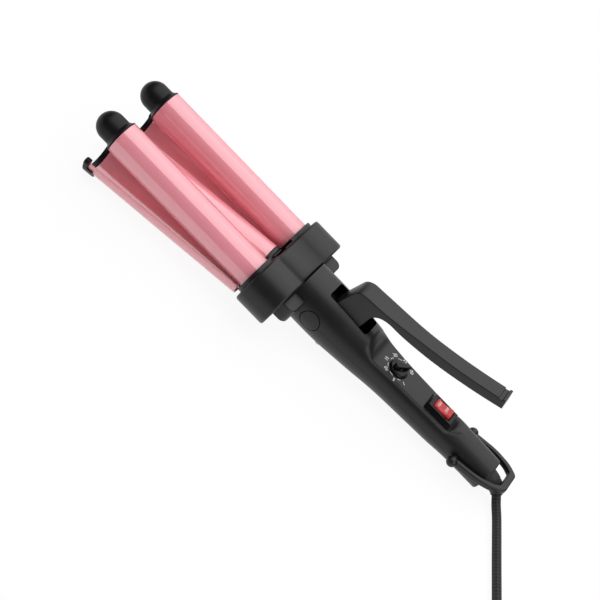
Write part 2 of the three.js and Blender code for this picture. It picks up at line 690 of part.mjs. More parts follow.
// Side wings behind the collar, rounded at their rear corners
function wings() {
  const half = WING_HALF_SPAN;
  const rear = HANDLE_START + WING_LENGTH;
  const shape = new THREE.Shape();
  shape.moveTo(HANDLE_START, -half);
  shape.lineTo(rear - WING_CORNER_R, -half);
  shape.quadraticCurveTo(rear, -half, rear, -half + WING_CORNER_R);
  shape.lineTo(rear, half - WING_CORNER_R);
  shape.quadraticCurveTo(rear, half, rear - WING_CORNER_R, half);
  shape.lineTo(HANDLE_START, half);
  return alongZ(shape, WING_BOTTOM, WING_TOP, 5, 0.8);
}

const floorAt = (x, y) => handleAt(x).middle - Math.sqrt(handleAt(x).radius ** 2 - y ** 2);
const handleScrews = [[HANDLE_START + 35.1, -12], [HANDLE_START + 35.1, 12], [HANDLE_END - 32.6, 0]];
const screwSeat = (x, y) => floorAt(x, Math.abs(y) + SCREW_HEAD_R) + SCREW_HEAD_HEIGHT + FIT + SCREW_RECESS;
const screwTip = 3;
const boardPosts = [BOARD_START + 6, BOARD_END - 6];
const clampScrewYs = [-CLAMP_SCREW_Y, CLAMP_SCREW_Y];
const capSeatY = NECK_R - PIVOT_CAP_DEPTH;

function handleShells() {
  const outer = handleBody(0, HANDLE_START, HANDLE_END, HANDLE_SIDES);
  const inner = handleBody(HANDLE_WALL, HANDLE_START + HANDLE_WALL, HANDLE_END - HANDLE_WALL, 20);
  const front = rod('x', COLLAR_THROAT_R - 1, HANDLE_START - 1, HANDLE_START + HANDLE_WALL + 1, 0, 0, 28);
  const hollowStart = HANDLE_START + HANDLE_WALL;
  const hollowEnd = HANDLE_START + WING_LENGTH + 1;
  const wingHollow = box(hollowStart, hollowEnd, -16, 16, WING_BOTTOM - 1, WING_TOP + 1);
  let shell = join(cut(outer, inner), cut(wings(), wingHollow, inner));
  const core = handleBody(HANDLE_WALL / 2, HANDLE_START, HANDLE_END, 20);
  const pillars = [
    ...handleScrews.map(([x, y]) => rod('z', SCREW_HEAD_R + FIT + 0.8, -30, 30, x, y, 14)),
    ...boardPosts.map((x) => rod('z', 2.2, -30, BOARD_TOP - BOARD_THICKNESS - FIT, x, 0, 10)),
    ...clampScrewYs.map((y) => rod('z', 2.6, -30, -CORD_R - FIT, CLAMP_X, y, 12)),
    rod('y', PIVOT_CAP_R + 1.2, BOSS_INNER_Y, 30, PIVOT_X, 0, 24),
    rod('y', PIVOT_CAP_R + 1.2, -30, -BOSS_INNER_Y, PIVOT_X, 0, 24),
  ];
  shell = join(shell, ...pillars.map((pillar) => pillar.intersect(core)));
  const cutters = [
    front,
    box(SLOT_START, SLOT_END, -SLOT_HALF_WIDTH, SLOT_HALF_WIDTH, 8, 40),
    rod('y', PIN_R + FIT, -30, 30, PIVOT_X, 0, 20),
    rod('y', PIVOT_CAP_R + PIVOT_CAP_GROOVE, capSeatY, 30, PIVOT_X, 0, 28),
    rod('y', PIVOT_CAP_R + PIVOT_CAP_GROOVE, -30, -capSeatY, PIVOT_X, 0, 28),
    rod('z', POT_NECK_R + FIT, 0, 30, DIAL_X, 0, 18),
    box(SWITCH_X - SWITCH_BODY_LENGTH / 2 - FIT, SWITCH_X + SWITCH_BODY_LENGTH / 2 + FIT,
      -SWITCH_BODY_WIDTH / 2 - FIT, SWITCH_BODY_WIDTH / 2 + FIT, 0, 30),
    rod('y', LOOP_PEG_R + FIT, -30, 30, LOOP_X, LOOP_Z, 16),
    rod('x', END_HOLE_R, HANDLE_END - HANDLE_WALL - 1, HANDLE_END + 1, 0, handleAt(HANDLE_END).middle, 24),
    ...clampScrewYs.map((y) => rod('z', SCREW_SHANK_R + FIT, -10, 0, CLAMP_X, y, 10)),
  ];
  for (const [x, y] of handleScrews) {
    cutters.push(rod('z', SCREW_SHANK_R + FIT, -30, screwTip + FIT, x, y, 10));
    cutters.push(rod('z', SCREW_HEAD_R + FIT, -30, screwSeat(x, y), x, y, 14));
  }
  return { ...halves(cut(shell, ...cutters), 0), outer };
}

const handle = handleShells();
place(tool, 'handle_front_shell', handle.front, blackPlastic());
place(tool, 'handle_rear_shell', handle.rear, blackPlastic());
handleScrews.forEach(([x, y], i) => {
  place(tool, ...screw(`handle_screw_${i + 1}`, x, y, screwSeat(x, y), screwTip), steel());
});

// Pivot pin, its two flush caps and the return spring round it
place(tool, 'pivot_pin', rod('y', PIN_R, -PIN_HALF_LENGTH, PIN_HALF_LENGTH, PIVOT_X, 0, 20), steel());
for (const [side, from, to] of [['left', -30, -capSeatY - FIT], ['right', capSeatY + FIT, 30]]) {
  const disc = rod('y', PIVOT_CAP_R, from, to, PIVOT_X, 0, 28);
  place(tool, `pivot_cap_${side}`, disc.intersect(handle.outer), blackPlastic());
}

// One wire: a straight leg, the turns, and a straight leg the other way
function returnSpring() {
  const steps = 12 * SPRING_TURNS;
  const start = ARM_HALF_WIDTH + FIT + SPRING_WIRE_R;
  const points = [new THREE.Vector3(-SPRING_LEG, start, -SPRING_MEAN_R)];
  for (let i = 0; i <= steps; i += 1) {
    const angle = (i / steps) * 2 * Math.PI * SPRING_TURNS;
    const y = start + (i / steps) * SPRING_TURNS * SPRING_PITCH;
    points.push(new THREE.Vector3(SPRING_MEAN_R * Math.sin(angle), y, -SPRING_MEAN_R * Math.cos(angle)));
  }
  const end = points[points.length - 1];
  points.push(new THREE.Vector3(SPRING_LEG, end.y, end.z));
  return sweep(points, points.map(() => SPRING_WIRE_R), 5).translate(PIVOT_X, 0, 0);
}
place(tool, 'return_spring', returnSpring(), steel());

// Controls: board, potentiometer and dial, rocker switch
const facetHole = FACET_Z + FIT;
const boardBottom = BOARD_TOP - BOARD_THICKNESS;

function circuitBoard() {
  const width = BOARD_HALF_WIDTH;
  const board = box(BOARD_START, BOARD_END, -width, width, boardBottom, BOARD_TOP);
  const capacitor = box(BOARD_START + 2, BOARD_START + 8, -8, 0, BOARD_TOP - 0.5, BOARD_TOP + 4);
  const triac = box(BOARD_START + 3, BOARD_START + 6, 2, 8, BOARD_TOP - 0.5, BOARD_TOP + 7);
  return join(board, capacitor, triac);
}

function potentiometer() {
  const top = FACET_Z - HANDLE_WALL - FIT;
  const can = rod('z', POT_R, BOARD_TOP + FIT, top, DIAL_X, 0, 20);
  const neck = rod('z', POT_NECK_R, top - 1, FACET_Z, DIAL_X, 0, 18);
  return join(can, neck, rod('z', SHAFT_R, FACET_Z - 1, FACET_Z + SHAFT_ABOVE, DIAL_X, 0, 14));
}

function dialKnob() {
  const skirtTop = facetHole + DIAL_SKIRT;
  const skirt = rod('z', DIAL_R, facetHole, skirtTop, DIAL_X, 0, 28, DIAL_R - 0.5);
  const grip = new THREE.Shape();
  const shoulder = 0.62 * DIAL_GRIP_R;
  grip.absarc(0, 0, DIAL_GRIP_R, Math.PI / 3, -Math.PI / 3, false);
  grip.quadraticCurveTo(DIAL_R * 0.5, -shoulder, DIAL_R - 0.6, 0);
  grip.quadraticCurveTo(DIAL_R * 0.5, shoulder, DIAL_GRIP_R / 2, DIAL_GRIP_R * Math.sin(Math.PI / 3));
  const pointer = THREE.MathUtils.degToRad(DIAL_POINTER_DEGREES);
  const geometry = extrude(grip, DIAL_GRIP + 0.5, 10).rotateZ(pointer).translate(DIAL_X, 0, skirtTop - 0.5);
  const socket = rod('z', SHAFT_R + FIT, 0, FACET_Z + SHAFT_ABOVE + FIT, DIAL_X, 0, 14);
  return cut(join(skirt, asSolid(geometry)), socket);
}

const bezelTop = facetHole + BEZEL_HEIGHT;
const rockerPivotZ = bezelTop - ROCKER_PIVOT_DROP;

function switchHousing() {
  const about = (length, width, z0, z1) =>
    box(SWITCH_X - length / 2, SWITCH_X + length / 2, -width / 2, width / 2, z0, z1);
  const bezel = about(BEZEL_LENGTH, BEZEL_WIDTH, facetHole, bezelTop);
  const body = about(SWITCH_BODY_LENGTH, SWITCH_BODY_WIDTH, facetHole - SWITCH_BODY_DEPTH, bezelTop - 1);
  const pocket = about(ROCKER_LENGTH + 1, ROCKER_WIDTH + 2 * FIT, rockerPivotZ - ROCKER_LOWER_R - 1, 30);
  const pinReach = ROCKER_WIDTH / 2 + ROCKER_PIN_LENGTH + FIT;
  const pins = rod('y', ROCKER_PIN_R + FIT, -pinReach, pinReach, SWITCH_X, rockerPivotZ, 12);
  return cut(join(bezel, body), pocket, pins);
}

function rocker() {
  const half = ROCKER_LENGTH / 2;
  const shape = new THREE.Shape();
  shape.moveTo(half, -0.6);
  shape.lineTo(half, ROCKER_RISE);
  shape.quadraticCurveTo(0, ROCKER_RISE - 1.6, -half, ROCKER_RISE);
  shape.lineTo(-half, -0.6);
  shape.lineTo(-ROCKER_LOWER_R, -0.8);
  shape.absarc(0, 0, ROCKER_LOWER_R, Math.PI + 0.2, 2 * Math.PI - 0.2, false);
  const body = alongY(shape, -ROCKER_WIDTH / 2, ROCKER_WIDTH / 2, 8, 0);
  const pinHalf = ROCKER_WIDTH / 2 + ROCKER_PIN_LENGTH;
  return asGeometry(join(body, rod('y', ROCKER_PIN_R, -pinHalf, pinHalf, 0, 0, 10)));
}

place(tool, 'circuit_board', circuitBoard(), material(0x2f6b3a, 0.6, 0));
place(tool, 'potentiometer', potentiometer(), steel());
place(tool, 'dial_knob', dialKnob(), blackPlastic());
place(tool, 'switch_housing', switchHousing(), blackPlastic());
const rockerMesh = place(tool, 'switch_rocker', rocker(), material(0xd0302f, 0.3, 0));
rockerMesh.position.set(SWITCH_X, 0, rockerPivotZ);
rockerMesh.rotation.y = -THREE.MathUtils.degToRad(ROCKER_TILT_DEGREES);

// Hang loop, hinged on two pegs near the handle's end
function hangLoop() {
  const side = LOOP_HALF_SPAN + 0.4;
  const arm = LOOP_ARM_WIDTH;
  const reach = LOOP_REACH;
  const half = [[0, side], [20, side], [reach - 8, side - 3.6], [reach - 1.5, 10.4], [reach, 8.4]];
  const inner = side - arm;
  const hole = [[0, inner], [19, inner], [reach - 10, inner - 3.4], [reach - 5.6, 8], [reach - 5.4, 6.4]];
  const mirrored = (points) => points.map(([u, v]) => [u, -v]).reverse();
  const frame = outline([...half, ...mirrored(half), ...mirrored(hole).reverse(), ...hole.reverse()]);
  const bow = alongZ(frame, -LOOP_THICKNESS / 2, LOOP_THICKNESS / 2, 6, 0);
  const ends = [-1, 1].flatMap((sign) => {
    const ball = asSolid(new THREE.SphereGeometry(LOOP_BALL_R, 14, 9).translate(0, sign * LOOP_HALF_SPAN, 0));
    const pegStart = handleAt(LOOP_X).radius - HANDLE_WALL + 0.4;
    const pegEnds = [sign * pegStart, sign * LOOP_HALF_SPAN].sort((a, b) => a - b);
    return [ball, rod('y', LOOP_PEG_R, ...pegEnds, 0, 0, 14)];
  });
  return asGeometry(join(bow, ...ends));
}

const loopMesh = place(tool, 'hang_loop', hangLoop(), blackPlastic());
loopMesh.position.set(LOOP_X, 0, LOOP_Z);
loopMesh.rotation.y = -THREE.MathUtils.degToRad(LOOP_TILT_DEGREES);

// Inside the handle's end: the cord's first stretch under its clamp
const exitZ = handleAt(HANDLE_END).middle;
const flangeStart = HANDLE_END - HANDLE_WALL - RELIEF_FLANGE;
place(tool, 'cord_inner', rod('x', CORD_R, CLAMP_X - 8, flangeStart - FIT, 0, exitZ, 12), rubber());

function cordClamp() {
  const width = CLAMP_HALF_WIDTH;
  const bar = box(CLAMP_X - 3, CLAMP_X + 3, -width, width, -CORD_R, exitZ + CORD_R + CLAMP_COVER);
  const groove = rod('x', CORD_R + FIT, CLAMP_X - 4, CLAMP_X + 4, 0, exitZ, 16);
  const under = box(CLAMP_X - 4, CLAMP_X + 4, -CORD_R - FIT, CORD_R + FIT, -20, exitZ);
  const holes = clampScrewYs.map((y) => rod('z', SCREW_SHANK_R + FIT, -20, 20, CLAMP_X, y, 10));
  return cut(bar, groove, under, ...holes);
}
place(tool, 'cord_clamp', cordClamp(), blackPlastic());
clampScrewYs.forEach((y, i) => {
  const top = exitZ + CORD_R + CLAMP_COVER + FIT;
  const head = rod('z', CLAMP_HEAD_R, top, top + 1.4, CLAMP_X, y, 10);
  const shank = rod('z', SCREW_SHANK_R, -7, top + 0.7, CLAMP_X, y, 8);
  place(tool, `cord_clamp_screw_${i + 1}`, join(head, shank), steel());
});

// The tool lies on its back: the open jaw's tip and the handle's end rim both touch the surface
const jawLow = new THREE.Vector3(JAW_FRONT - FIT - TIP_CAP_LENGTH - PIVOT_X, 0,
  -(troughMiddle + halfPlate + TIP_CAP_DEPTH));
jawLow.applyAxisAngle(new THREE.Vector3(0, 1, 0), -openAngle).add(new THREE.Vector3(PIVOT_X, 0, 0));
const heelX = HANDLE_END - END_ROUNDING;
const heel = handleAt(heelX);
const pitch = Math.atan2(heel.middle - heel.radius - jawLow.z, heelX - jawLow.x);
layout.add(tool);
tool.rotation.y = pitch;
layout.updateMatrixWorld(true);
const bounds = new THREE.Box3().setFromObject(tool, true);
tool.position.set(-(bounds.min.x + bounds.max.x) / 2, -(bounds.min.y + bounds.max.y) / 2, -bounds.min.z);
layout.updateMatrixWorld(true);

// Strain relief: a flange inside, a neck through the end hole and a bent taper outside.
// Points are steps in x and y from the handle's end and heights above the surface.
const exit = tool.localToWorld(new THREE.Vector3(HANDLE_END, 0, exitZ));
const exitDirection = new THREE.Vector3(1, 0, 0).transformDirection(tool.matrixWorld);
const fromExit = ([x, y, height]) => new THREE.Vector3(exit.x + x, exit.y + y, height);
const reliefBend = [[4.8, 0, 12.1], [8.6, -0.3, 11], [11.5, -1.3, 9.6], [13.9, -2.9, 7.8]].map(fromExit);
const reliefTip = reliefBend[reliefBend.length - 1];
const routeSteps = [
  [18.2, -8.4, 5.5], [23.3, -15.2, 4], [28.5, -24.5, 3.5], [41.1, -49, 3.3],
  [53.6, -73.2, CORD_R], [65.5, -96.4, CORD_R], [77.4, -119.5, CORD_R],
];
const route = routeSteps.map(fromExit);
const tipDirection = route[0].clone().sub(reliefTip).normalize();

function strainRelief() {
  const along = (distance) => exit.clone().addScaledVector(exitDirection, distance);
  const neckR = END_HOLE_R - FIT;
  const points = [along(-HANDLE_WALL - RELIEF_FLANGE), along(-HANDLE_WALL - FIT), along(-HANDLE_WALL - FIT),
    along(FIT), along(FIT), ...reliefBend];
  const flange = RELIEF_R + 1;
  const radii = [flange, flange, neckR, neckR, RELIEF_R, 6.5, 5.8, 5, RELIEF_TIP_R];
  const directions = points.map((point, i) => (i < 5 ? exitDirection : null));
  return steppedSweep(points, radii, 16, directions, tipDirection);
}

// A sweep whose rings may step in radius at one point
function steppedSweep(points, radii, sides, directions, endDirection) {
  const side = new THREE.Vector3(0, 0, 1);
  const rings = points.map((point, i) => {
    const before = points[Math.max(i - 1, 0)];
    const after = points[Math.min(i + 1, points.length - 1)];
    let along = directions[i] || after.clone().sub(before).normalize();
    if (i === points.length - 1) along = endDirection;
    side.addScaledVector(along, -side.dot(along)).normalize();
    const across = along.clone().cross(side);
    return Array.from({ length: sides }, (_, j) => {
      const angle = (2 * Math.PI * j) / sides;
      return point.clone()
        .addScaledVector(side, radii[i] * Math.cos(angle))
        .addScaledVector(across, radii[i] * Math.sin(angle));
    });
  });
  return skin(rings);
}
place(layout, 'strain_relief', strainRelief(), rubber());

// The cord's free stretch, from the strain relief to the coil
function freeCord() {
  const start = reliefTip.clone().addScaledVector(tipDirection, FIT);
  const curve = new THREE.CatmullRomCurve3([start, ...route], false, 'centripetal');
  const ring = new THREE.Shape();
  ring.absarc(0, 0, CORD_R, 0, 2 * Math.PI, false);
  const sides = new THREE.Shape(ring.getSpacedPoints(10).slice(0, 10));
  return new THREE.ExtrudeGeometry(sides, { steps: 14, extrudePath: curve });
}
place(layout, 'cord', asSolid(freeCord()), rubber());

// The coil: two layers that spiral in and out, climbing in the half turn where they reverse
const cordHeading = route[route.length - 1].clone().sub(route[route.length - 2]).normalize();

function coilPoints() {
  const stepsPerTurn = 24;
  const fall = COIL_PITCH / (2 * Math.PI);
  const outer = COIL_MEAN_R + (COIL_PITCH * COIL_TURNS_PER_LAYER) / 2;
  const startAngle = Math.atan2(cordHeading.y, cordHeading.x) - Math.PI / 2 - Math.atan(fall / outer);
  const start = route[route.length - 1].clone().addScaledVector(cordHeading, FIT + 2 * CORD_R);
  const outward = new THREE.Vector3(Math.cos(startAngle), Math.sin(startAngle), 0);
  const centre = start.clone().addScaledVector(outward, -outer);
  const layer = 2 * CORD_R + COIL_LAYER_GAP;
  const turns = 2 * COIL_TURNS_PER_LAYER + CLIMB_TURNS;
  const points = [start.clone().addScaledVector(cordHeading, -2 * CORD_R)];
  for (let i = 0; i <= Math.round(turns * stepsPerTurn); i += 1) {
    const turn = i / stepsPerTurn;
    const turnsIn = Math.min(turn, COIL_TURNS_PER_LAYER);
    const turnsOut = Math.max(turn - COIL_TURNS_PER_LAYER - CLIMB_TURNS, 0);
    const climb = THREE.MathUtils.clamp((turn - COIL_TURNS_PER_LAYER) / CLIMB_TURNS, 0, 1);
    const radius = outer + COIL_PITCH * (turnsOut - turnsIn);
    const angle = startAngle + 2 * Math.PI * turn;
    const height = CORD_R + layer * THREE.MathUtils.smoothstep(climb, 0, 1);
    const [x, y] = [radius * Math.cos(angle), radius * Math.sin(angle)];
    points.push(new THREE.Vector3(centre.x + x, centre.y + y, height));
  }
  const last = points[points.length - 1];
  const heading = last.clone().sub(points[points.length - 2]).setZ(0).normalize();
  points.push(last.clone().addScaledVector(heading, 2 * CORD_R));
  return { points, heading, stepsPerTurn };
}

const coil = coilPoints();
const coilRadii = coil.points.map(() => CORD_R);
place(layout, 'cord_coil', sweep(coil.points, coilRadii, 6, cordHeading, coil.heading), rubber());

// Least gap of the coil to itself, between points that are more than half a turn apart
function leastGap(points, stepsPerTurn) {
  let least = Infinity;
  for (let i = 0; i < points.length; i += 1) {
    for (let j = i + stepsPerTurn / 2; j + 1 < points.length; j += 1) {
      const segment = new THREE.Line3(points[j], points[j + 1]);
      const near = segment.closestPointToPoint(points[i], true, new THREE.Vector3());
      least = Math.min(least, near.distanceTo(points[i]) - 2 * CORD_R);
    }
  }
  return least;
}

const pathLength = (points) =>
  points.slice(1).reduce((sum, point, i) => sum + point.distanceTo(points[i]), 0);
console.log('least gap of the coil to itself', leastGap(coil.points, coil.stepsPerTurn).toFixed(2), 'mm');
console.log('cord length', (pathLength([reliefTip, ...route]) + pathLength(coil.points)).toFixed(0), 'mm');

// Two-blade plug on the coil's end, lying in line with it
const plug = new THREE.Group();
const coilEnd = coil.points[coil.points.length - 1];
plug.position.copy(coilEnd).addScaledVector(coil.heading, FIT);
plug.rotation.z = Math.atan2(coil.heading.y, coil.heading.x);
layout.add(plug);

function plugBody() {
  const half = coilEnd.z;
  const start = PLUG_RELIEF_LENGTH + FIT;
  const shape = new THREE.Shape();
  shape.moveTo(start, -PLUG_BODY_WIDTH / 2 + 4);
  shape.lineTo(start + 6, -PLUG_BODY_WIDTH / 2);
  shape.lineTo(start + PLUG_BODY_LENGTH, -PLUG_BODY_WIDTH / 2);
  shape.lineTo(start + PLUG_BODY_LENGTH, PLUG_BODY_WIDTH / 2);
  shape.lineTo(start + 6, PLUG_BODY_WIDTH / 2);
  shape.lineTo(start, PLUG_BODY_WIDTH / 2 - 4);
  return alongZ(shape, -half, half, 4, 1);
}

function plugRelief() {
  return rod('x', RELIEF_TIP_R, 0, PLUG_RELIEF_LENGTH, 0, 0, 16, RELIEF_R);
}

place(plug, 'plug_strain_relief', plugRelief(), rubber());
place(plug, 'plug_body', plugBody(), rubber());
const bladeStart = PLUG_RELIEF_LENGTH + PLUG_BODY_LENGTH + 2 * FIT;
[-1, 1].forEach((sign, i) => {
  const y = (sign * BLADE_SPACING) / 2;
  const blade = box(bladeStart, bladeStart + BLADE_LENGTH, y - BLADE_THICKNESS / 2, y + BLADE_THICKNESS / 2,
    -BLADE_WIDTH / 2, BLADE_WIDTH / 2);
  place(plug, `plug_blade_${i + 1}`, blade, brass());
});

export default layout;
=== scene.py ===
import math

import bmesh
import bpy
import numpy as np
from mathutils import Matrix, Vector


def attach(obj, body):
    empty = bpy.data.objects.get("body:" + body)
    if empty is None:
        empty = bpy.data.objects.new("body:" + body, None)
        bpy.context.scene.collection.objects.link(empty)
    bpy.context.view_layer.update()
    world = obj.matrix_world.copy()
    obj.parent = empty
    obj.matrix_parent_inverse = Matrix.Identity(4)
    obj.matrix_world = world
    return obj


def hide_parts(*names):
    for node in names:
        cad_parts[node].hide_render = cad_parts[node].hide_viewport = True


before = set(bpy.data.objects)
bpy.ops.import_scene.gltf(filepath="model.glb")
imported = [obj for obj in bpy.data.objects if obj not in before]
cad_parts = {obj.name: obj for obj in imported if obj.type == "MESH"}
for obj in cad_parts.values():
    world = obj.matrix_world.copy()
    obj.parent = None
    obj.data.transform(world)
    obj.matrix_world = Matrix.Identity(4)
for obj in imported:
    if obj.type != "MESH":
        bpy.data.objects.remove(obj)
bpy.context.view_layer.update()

# Stance. The waver lies on its back, resting on the open jaw's tip and the handle's end, so its own
# axis slopes down towards the cord. Its own frame has x from the barrel rims to the cord, y across
# the two barrels and z towards the dial, in millimetres.
PITCH = 0.0836247364011221
STANCE_MM = (-164.95962662822663, 0, 40.2876779185536)
to_world = (Matrix.Translation(Vector(STANCE_MM) / 1000) @ Matrix.Rotation(PITCH, 4, "Y")
            @ Matrix.Scale(0.001, 4))

# Camera. Product shot from above and to one side, with a long lens, so that the waver runs from the
# upper left corner of the square picture to the lower right.
EYE_MM = Vector((148.72, -820.44, 719.89))
LOOK = Vector((0.01134, 0.74655, -0.66523)).normalized()
ACROSS = Vector((0.69587, 0.47183, 0.54138))
SENSOR_MM = 36
FOCAL_PIXELS = 1600
PICTURE_PIXELS = 600

across = (ACROSS - ACROSS.dot(LOOK) * LOOK).normalized()
upright = across.cross(LOOK)
turn = Matrix((across, upright, -LOOK)).transposed().to_4x4()
lens = bpy.data.cameras.new("photo_camera")
lens.sensor_width = SENSOR_MM
lens.lens = SENSOR_MM * FOCAL_PIXELS / PICTURE_PIXELS
lens.clip_start, lens.clip_end = 0.05, 20
camera = bpy.data.objects.new("photo_camera", lens)
bpy.context.scene.collection.objects.link(camera)
camera.matrix_world = (Matrix.Translation(to_world @ EYE_MM)
                       @ Matrix.Rotation(PITCH, 4, "Y") @ turn)
bpy.context.scene.camera = camera

# Cord sheath. Polyester yarn braided over two insulated cores: black, matt, with the strands crossing
# on the slant. It leaves the relief, drops to the surface, runs out of the picture and is put away
# in a flat coil of two layers.
CORD_R = 0.00325
EXIT_MM = (335.6, 0, 0.5)
EXIT = to_world @ Vector(EXIT_MM)
RELIEF_STEPS_MM = [(4.8, 0, 12.1), (8.6, -0.3, 11), (11.5, -1.3, 9.6), (13.9, -2.9, 7.8)]
ROUTE_STEPS_MM = [(18.2, -8.4, 5.5), (23.3, -15.2, 4), (28.5, -24.5, 3.5), (41.1, -49, 3.3),
                  (53.6, -73.2, 3.25), (65.5, -96.4, 3.25), (77.4, -119.5, 3.25)]
COIL_MEAN_R = 0.035
COIL_PITCH = 0.0082
TURNS_PER_LAYER = 3.5
CLIMB_TURNS = 0.5
LAYER_GAP = 0.0008
LAYER_RISE = 2 * CORD_R + LAYER_GAP
STEPS_PER_TURN = 40
YARN_PITCH = 0.0026
ROUTE_SPAN_STEPS = 5
FIT = 0.0003


def from_exit(step):
    """A point by its millimetres in x and y from the handle's end and its height above the floor"""
    return Vector((EXIT.x + step[0] / 1000, EXIT.y + step[1] / 1000, step[2] / 1000))


def smooth_step(t):
    """Eases from 0 to 1 while t goes from 0 to 1"""
    t = min(max(t, 0), 1)
    return t * t * (3 - 2 * t)


def centripetal(points, per_span):
    """A smooth curve through all the points, with centripetal spacing"""
    points = [2 * points[0] - points[1]] + points + [2 * points[-1] - points[-2]]
    line = []
    for a, b, c, d in zip(points, points[1:], points[2:], points[3:]):
        t1 = (b - a).length ** 0.5
        t2 = t1 + (c - b).length ** 0.5
        t3 = t2 + (d - c).length ** 0.5
        for i in range(per_span):
            t = t1 + (t2 - t1) * i / per_span
            ab = a.lerp(b, t / t1)
            bc = b.lerp(c, (t - t1) / (t2 - t1))
            cd = c.lerp(d, (t - t2) / (t3 - t2))
            abc = ab.lerp(bc, t / t2)
            bcd = bc.lerp(cd, (t - t1) / (t3 - t1))
            line.append(abc.lerp(bcd, (t - t1) / (t2 - t1)))
    return line + [points[-2]]


relief_line = [from_exit(step) for step in RELIEF_STEPS_MM]
relief_tip = relief_line[-1]
route = [from_exit(step) for step in ROUTE_STEPS_MM]
cord_start = relief_tip + FIT * (route[0] - relief_tip).normalized()
cord_line = centripetal([cord_start] + route, ROUTE_SPAN_STEPS)

heading = (route[-1] - route[-2]).normalized()
outer_r = COIL_MEAN_R + COIL_PITCH * TURNS_PER_LAYER / 2
start_angle = (math.atan2(heading.y, heading.x) - math.pi / 2
               - math.atan(COIL_PITCH / (2 * math.pi) / outer_r))
coil_start = route[-1] + heading * (FIT + 2 * CORD_R)
coil_middle = coil_start - outer_r * Vector((math.cos(start_angle), math.sin(start_angle), 0))
for i in range(round((2 * TURNS_PER_LAYER + CLIMB_TURNS) * STEPS_PER_TURN) + 1):
    turns = i / STEPS_PER_TURN
    turns_in = min(turns, TURNS_PER_LAYER)
    turns_out = max(turns - TURNS_PER_LAYER - CLIMB_TURNS, 0)
    radius = outer_r + COIL_PITCH * (turns_out - turns_in)
    angle = start_angle + 2 * math.pi * turns
    height = CORD_R + LAYER_RISE * smooth_step((turns - TURNS_PER_LAYER) / CLIMB_TURNS)
    cord_line.append(Vector((coil_middle.x + radius * math.cos(angle),
                             coil_middle.y + radius * math.sin(angle), height)))
plug_heading = cord_line[-1] - cord_line[-2]
plug_heading.z = 0
plug_heading.normalize()
cord_line.append(cord_line[-1] + 2 * CORD_R * plug_heading)
plug_start = cord_line[-1] + FIT * plug_heading


def new_object(name, vertices, faces, material, sharp_degrees=35):
    """A mesh object whose faces shade smooth up to an angle between them"""
    mesh = bpy.data.meshes.new(name)
    mesh.from_pydata([tuple(v) for v in vertices], [], faces)
    mesh.validate()
    mesh.update()
    finish_mesh(mesh, sharp_degrees)
    if material:
        mesh.materials.append(material)
    piece = bpy.data.objects.new(name, mesh)
    bpy.context.scene.collection.objects.link(piece)
    return piece


def finish_mesh(mesh, sharp_degrees):
    """Smooth shading, broken at edges sharper than an angle"""
    mesh.polygons.foreach_set("use_smooth", [True] * len(mesh.polygons))
    mesh.set_sharp_from_angle(angle=math.radians(sharp_degrees))


def tube(points, radii, sides, first_heading=None, last_heading=None):
    """Untwisted rings round a line and the faces between them, with both ends closed"""
    vertices, faces = [], []
    up = Vector((0, 0, 1))
    for i, point in enumerate(points):
        along = (points[min(i + 1, len(points) - 1)] - points[max(i - 1, 0)]).normalized()
        if i == 0 and first_heading:
            along = first_heading
        if i == len(points) - 1 and last_heading:
            along = last_heading
        up = (up - up.dot(along) * along).normalized()
        side = along.cross(up)
        for j in range(sides):
            angle = 2 * math.pi * j / sides
            vertices.append(point + radii[i] * (math.cos(angle) * up + math.sin(angle) * side))
    for i in range(len(points) - 1):
        for j in range(sides):
            a, b = i * sides + j, i * sides + (j + 1) % sides
            faces.append((a, b, b + sides, a + sides))
    faces.append(tuple(reversed(range(sides))))
    faces.append(tuple(range((len(points) - 1) * sides, len(points) * sides)))
    return vertices, faces


def srgb(hex_colour):
    """The linear colour of an sRGB hex value"""
    parts = [int(hex_colour[i:i + 2], 16) / 255 for i in (0, 2, 4)]
    linear = [c / 12.92 if c <= 0.04045 else ((c + 0.055) / 1.055) ** 2.4 for c in parts]
    return (*linear, 1)


def add_node(tree, kind, settings=None, links=None):
    """A node with its attributes in settings, and its input sockets, by index or name, in links.
    A link is another node's output socket, and anything else is the socket's own value."""
    node = tree.nodes.new(kind)
    for key, value in (settings or {}).items():
        setattr(node, key, value)
    for key, value in (links or {}).items():
        if isinstance(value, bpy.types.NodeSocket):
            tree.links.new(value, node.inputs[key])
        else:
            node.inputs[key].default_value = value
    return node


def new_material(name, **shader_values):
    """A material with a Principled shader on its output, and the shader's own values"""
    material = bpy.data.materials.new(name)
    material.use_nodes = True
    shader = material.node_tree.nodes["Principled BSDF"]
    for key, value in shader_values.items():
        shader.inputs[key.replace("_", " ")].default_value = value
    return material, material.node_tree, shader


# Braided polyester: two sets of yarns cross at 90 degrees, each 1.3 mm wide, and the hollows between
# them are painted darker than the yarns' tops, as painted shade. The pattern follows the cord by the
# tube's own UV map, 1 unit to two yarn pitches.
braid, tree, shader = new_material("braided_polyester", Roughness=0.85, IOR=1.5)
uv = add_node(tree, "ShaderNodeUVMap", {"uv_map": "lay"})
split = add_node(tree, "ShaderNodeSeparateXYZ", None, {0: uv.outputs[0]})
strands = []
for operation in ("ADD", "SUBTRACT"):
    slant = add_node(tree, "ShaderNodeMath", {"operation": operation},
                     {0: split.outputs[0], 1: split.outputs[1]})
    turn_angle = add_node(tree, "ShaderNodeMath", {"operation": "MULTIPLY"},
                          {0: slant.outputs[0], 1: 2 * math.pi})
    wave = add_node(tree, "ShaderNodeMath", {"operation": "SINE"}, {0: turn_angle.outputs[0]})
    strands.append(wave.outputs[0])
over = add_node(tree, "ShaderNodeMath", {"operation": "MULTIPLY"}, {0: strands[0], 1: strands[1]})
weave = add_node(tree, "ShaderNodeMath", {"operation": "MULTIPLY_ADD"},
                 {0: over.outputs[0], 1: 0.5, 2: 0.5})
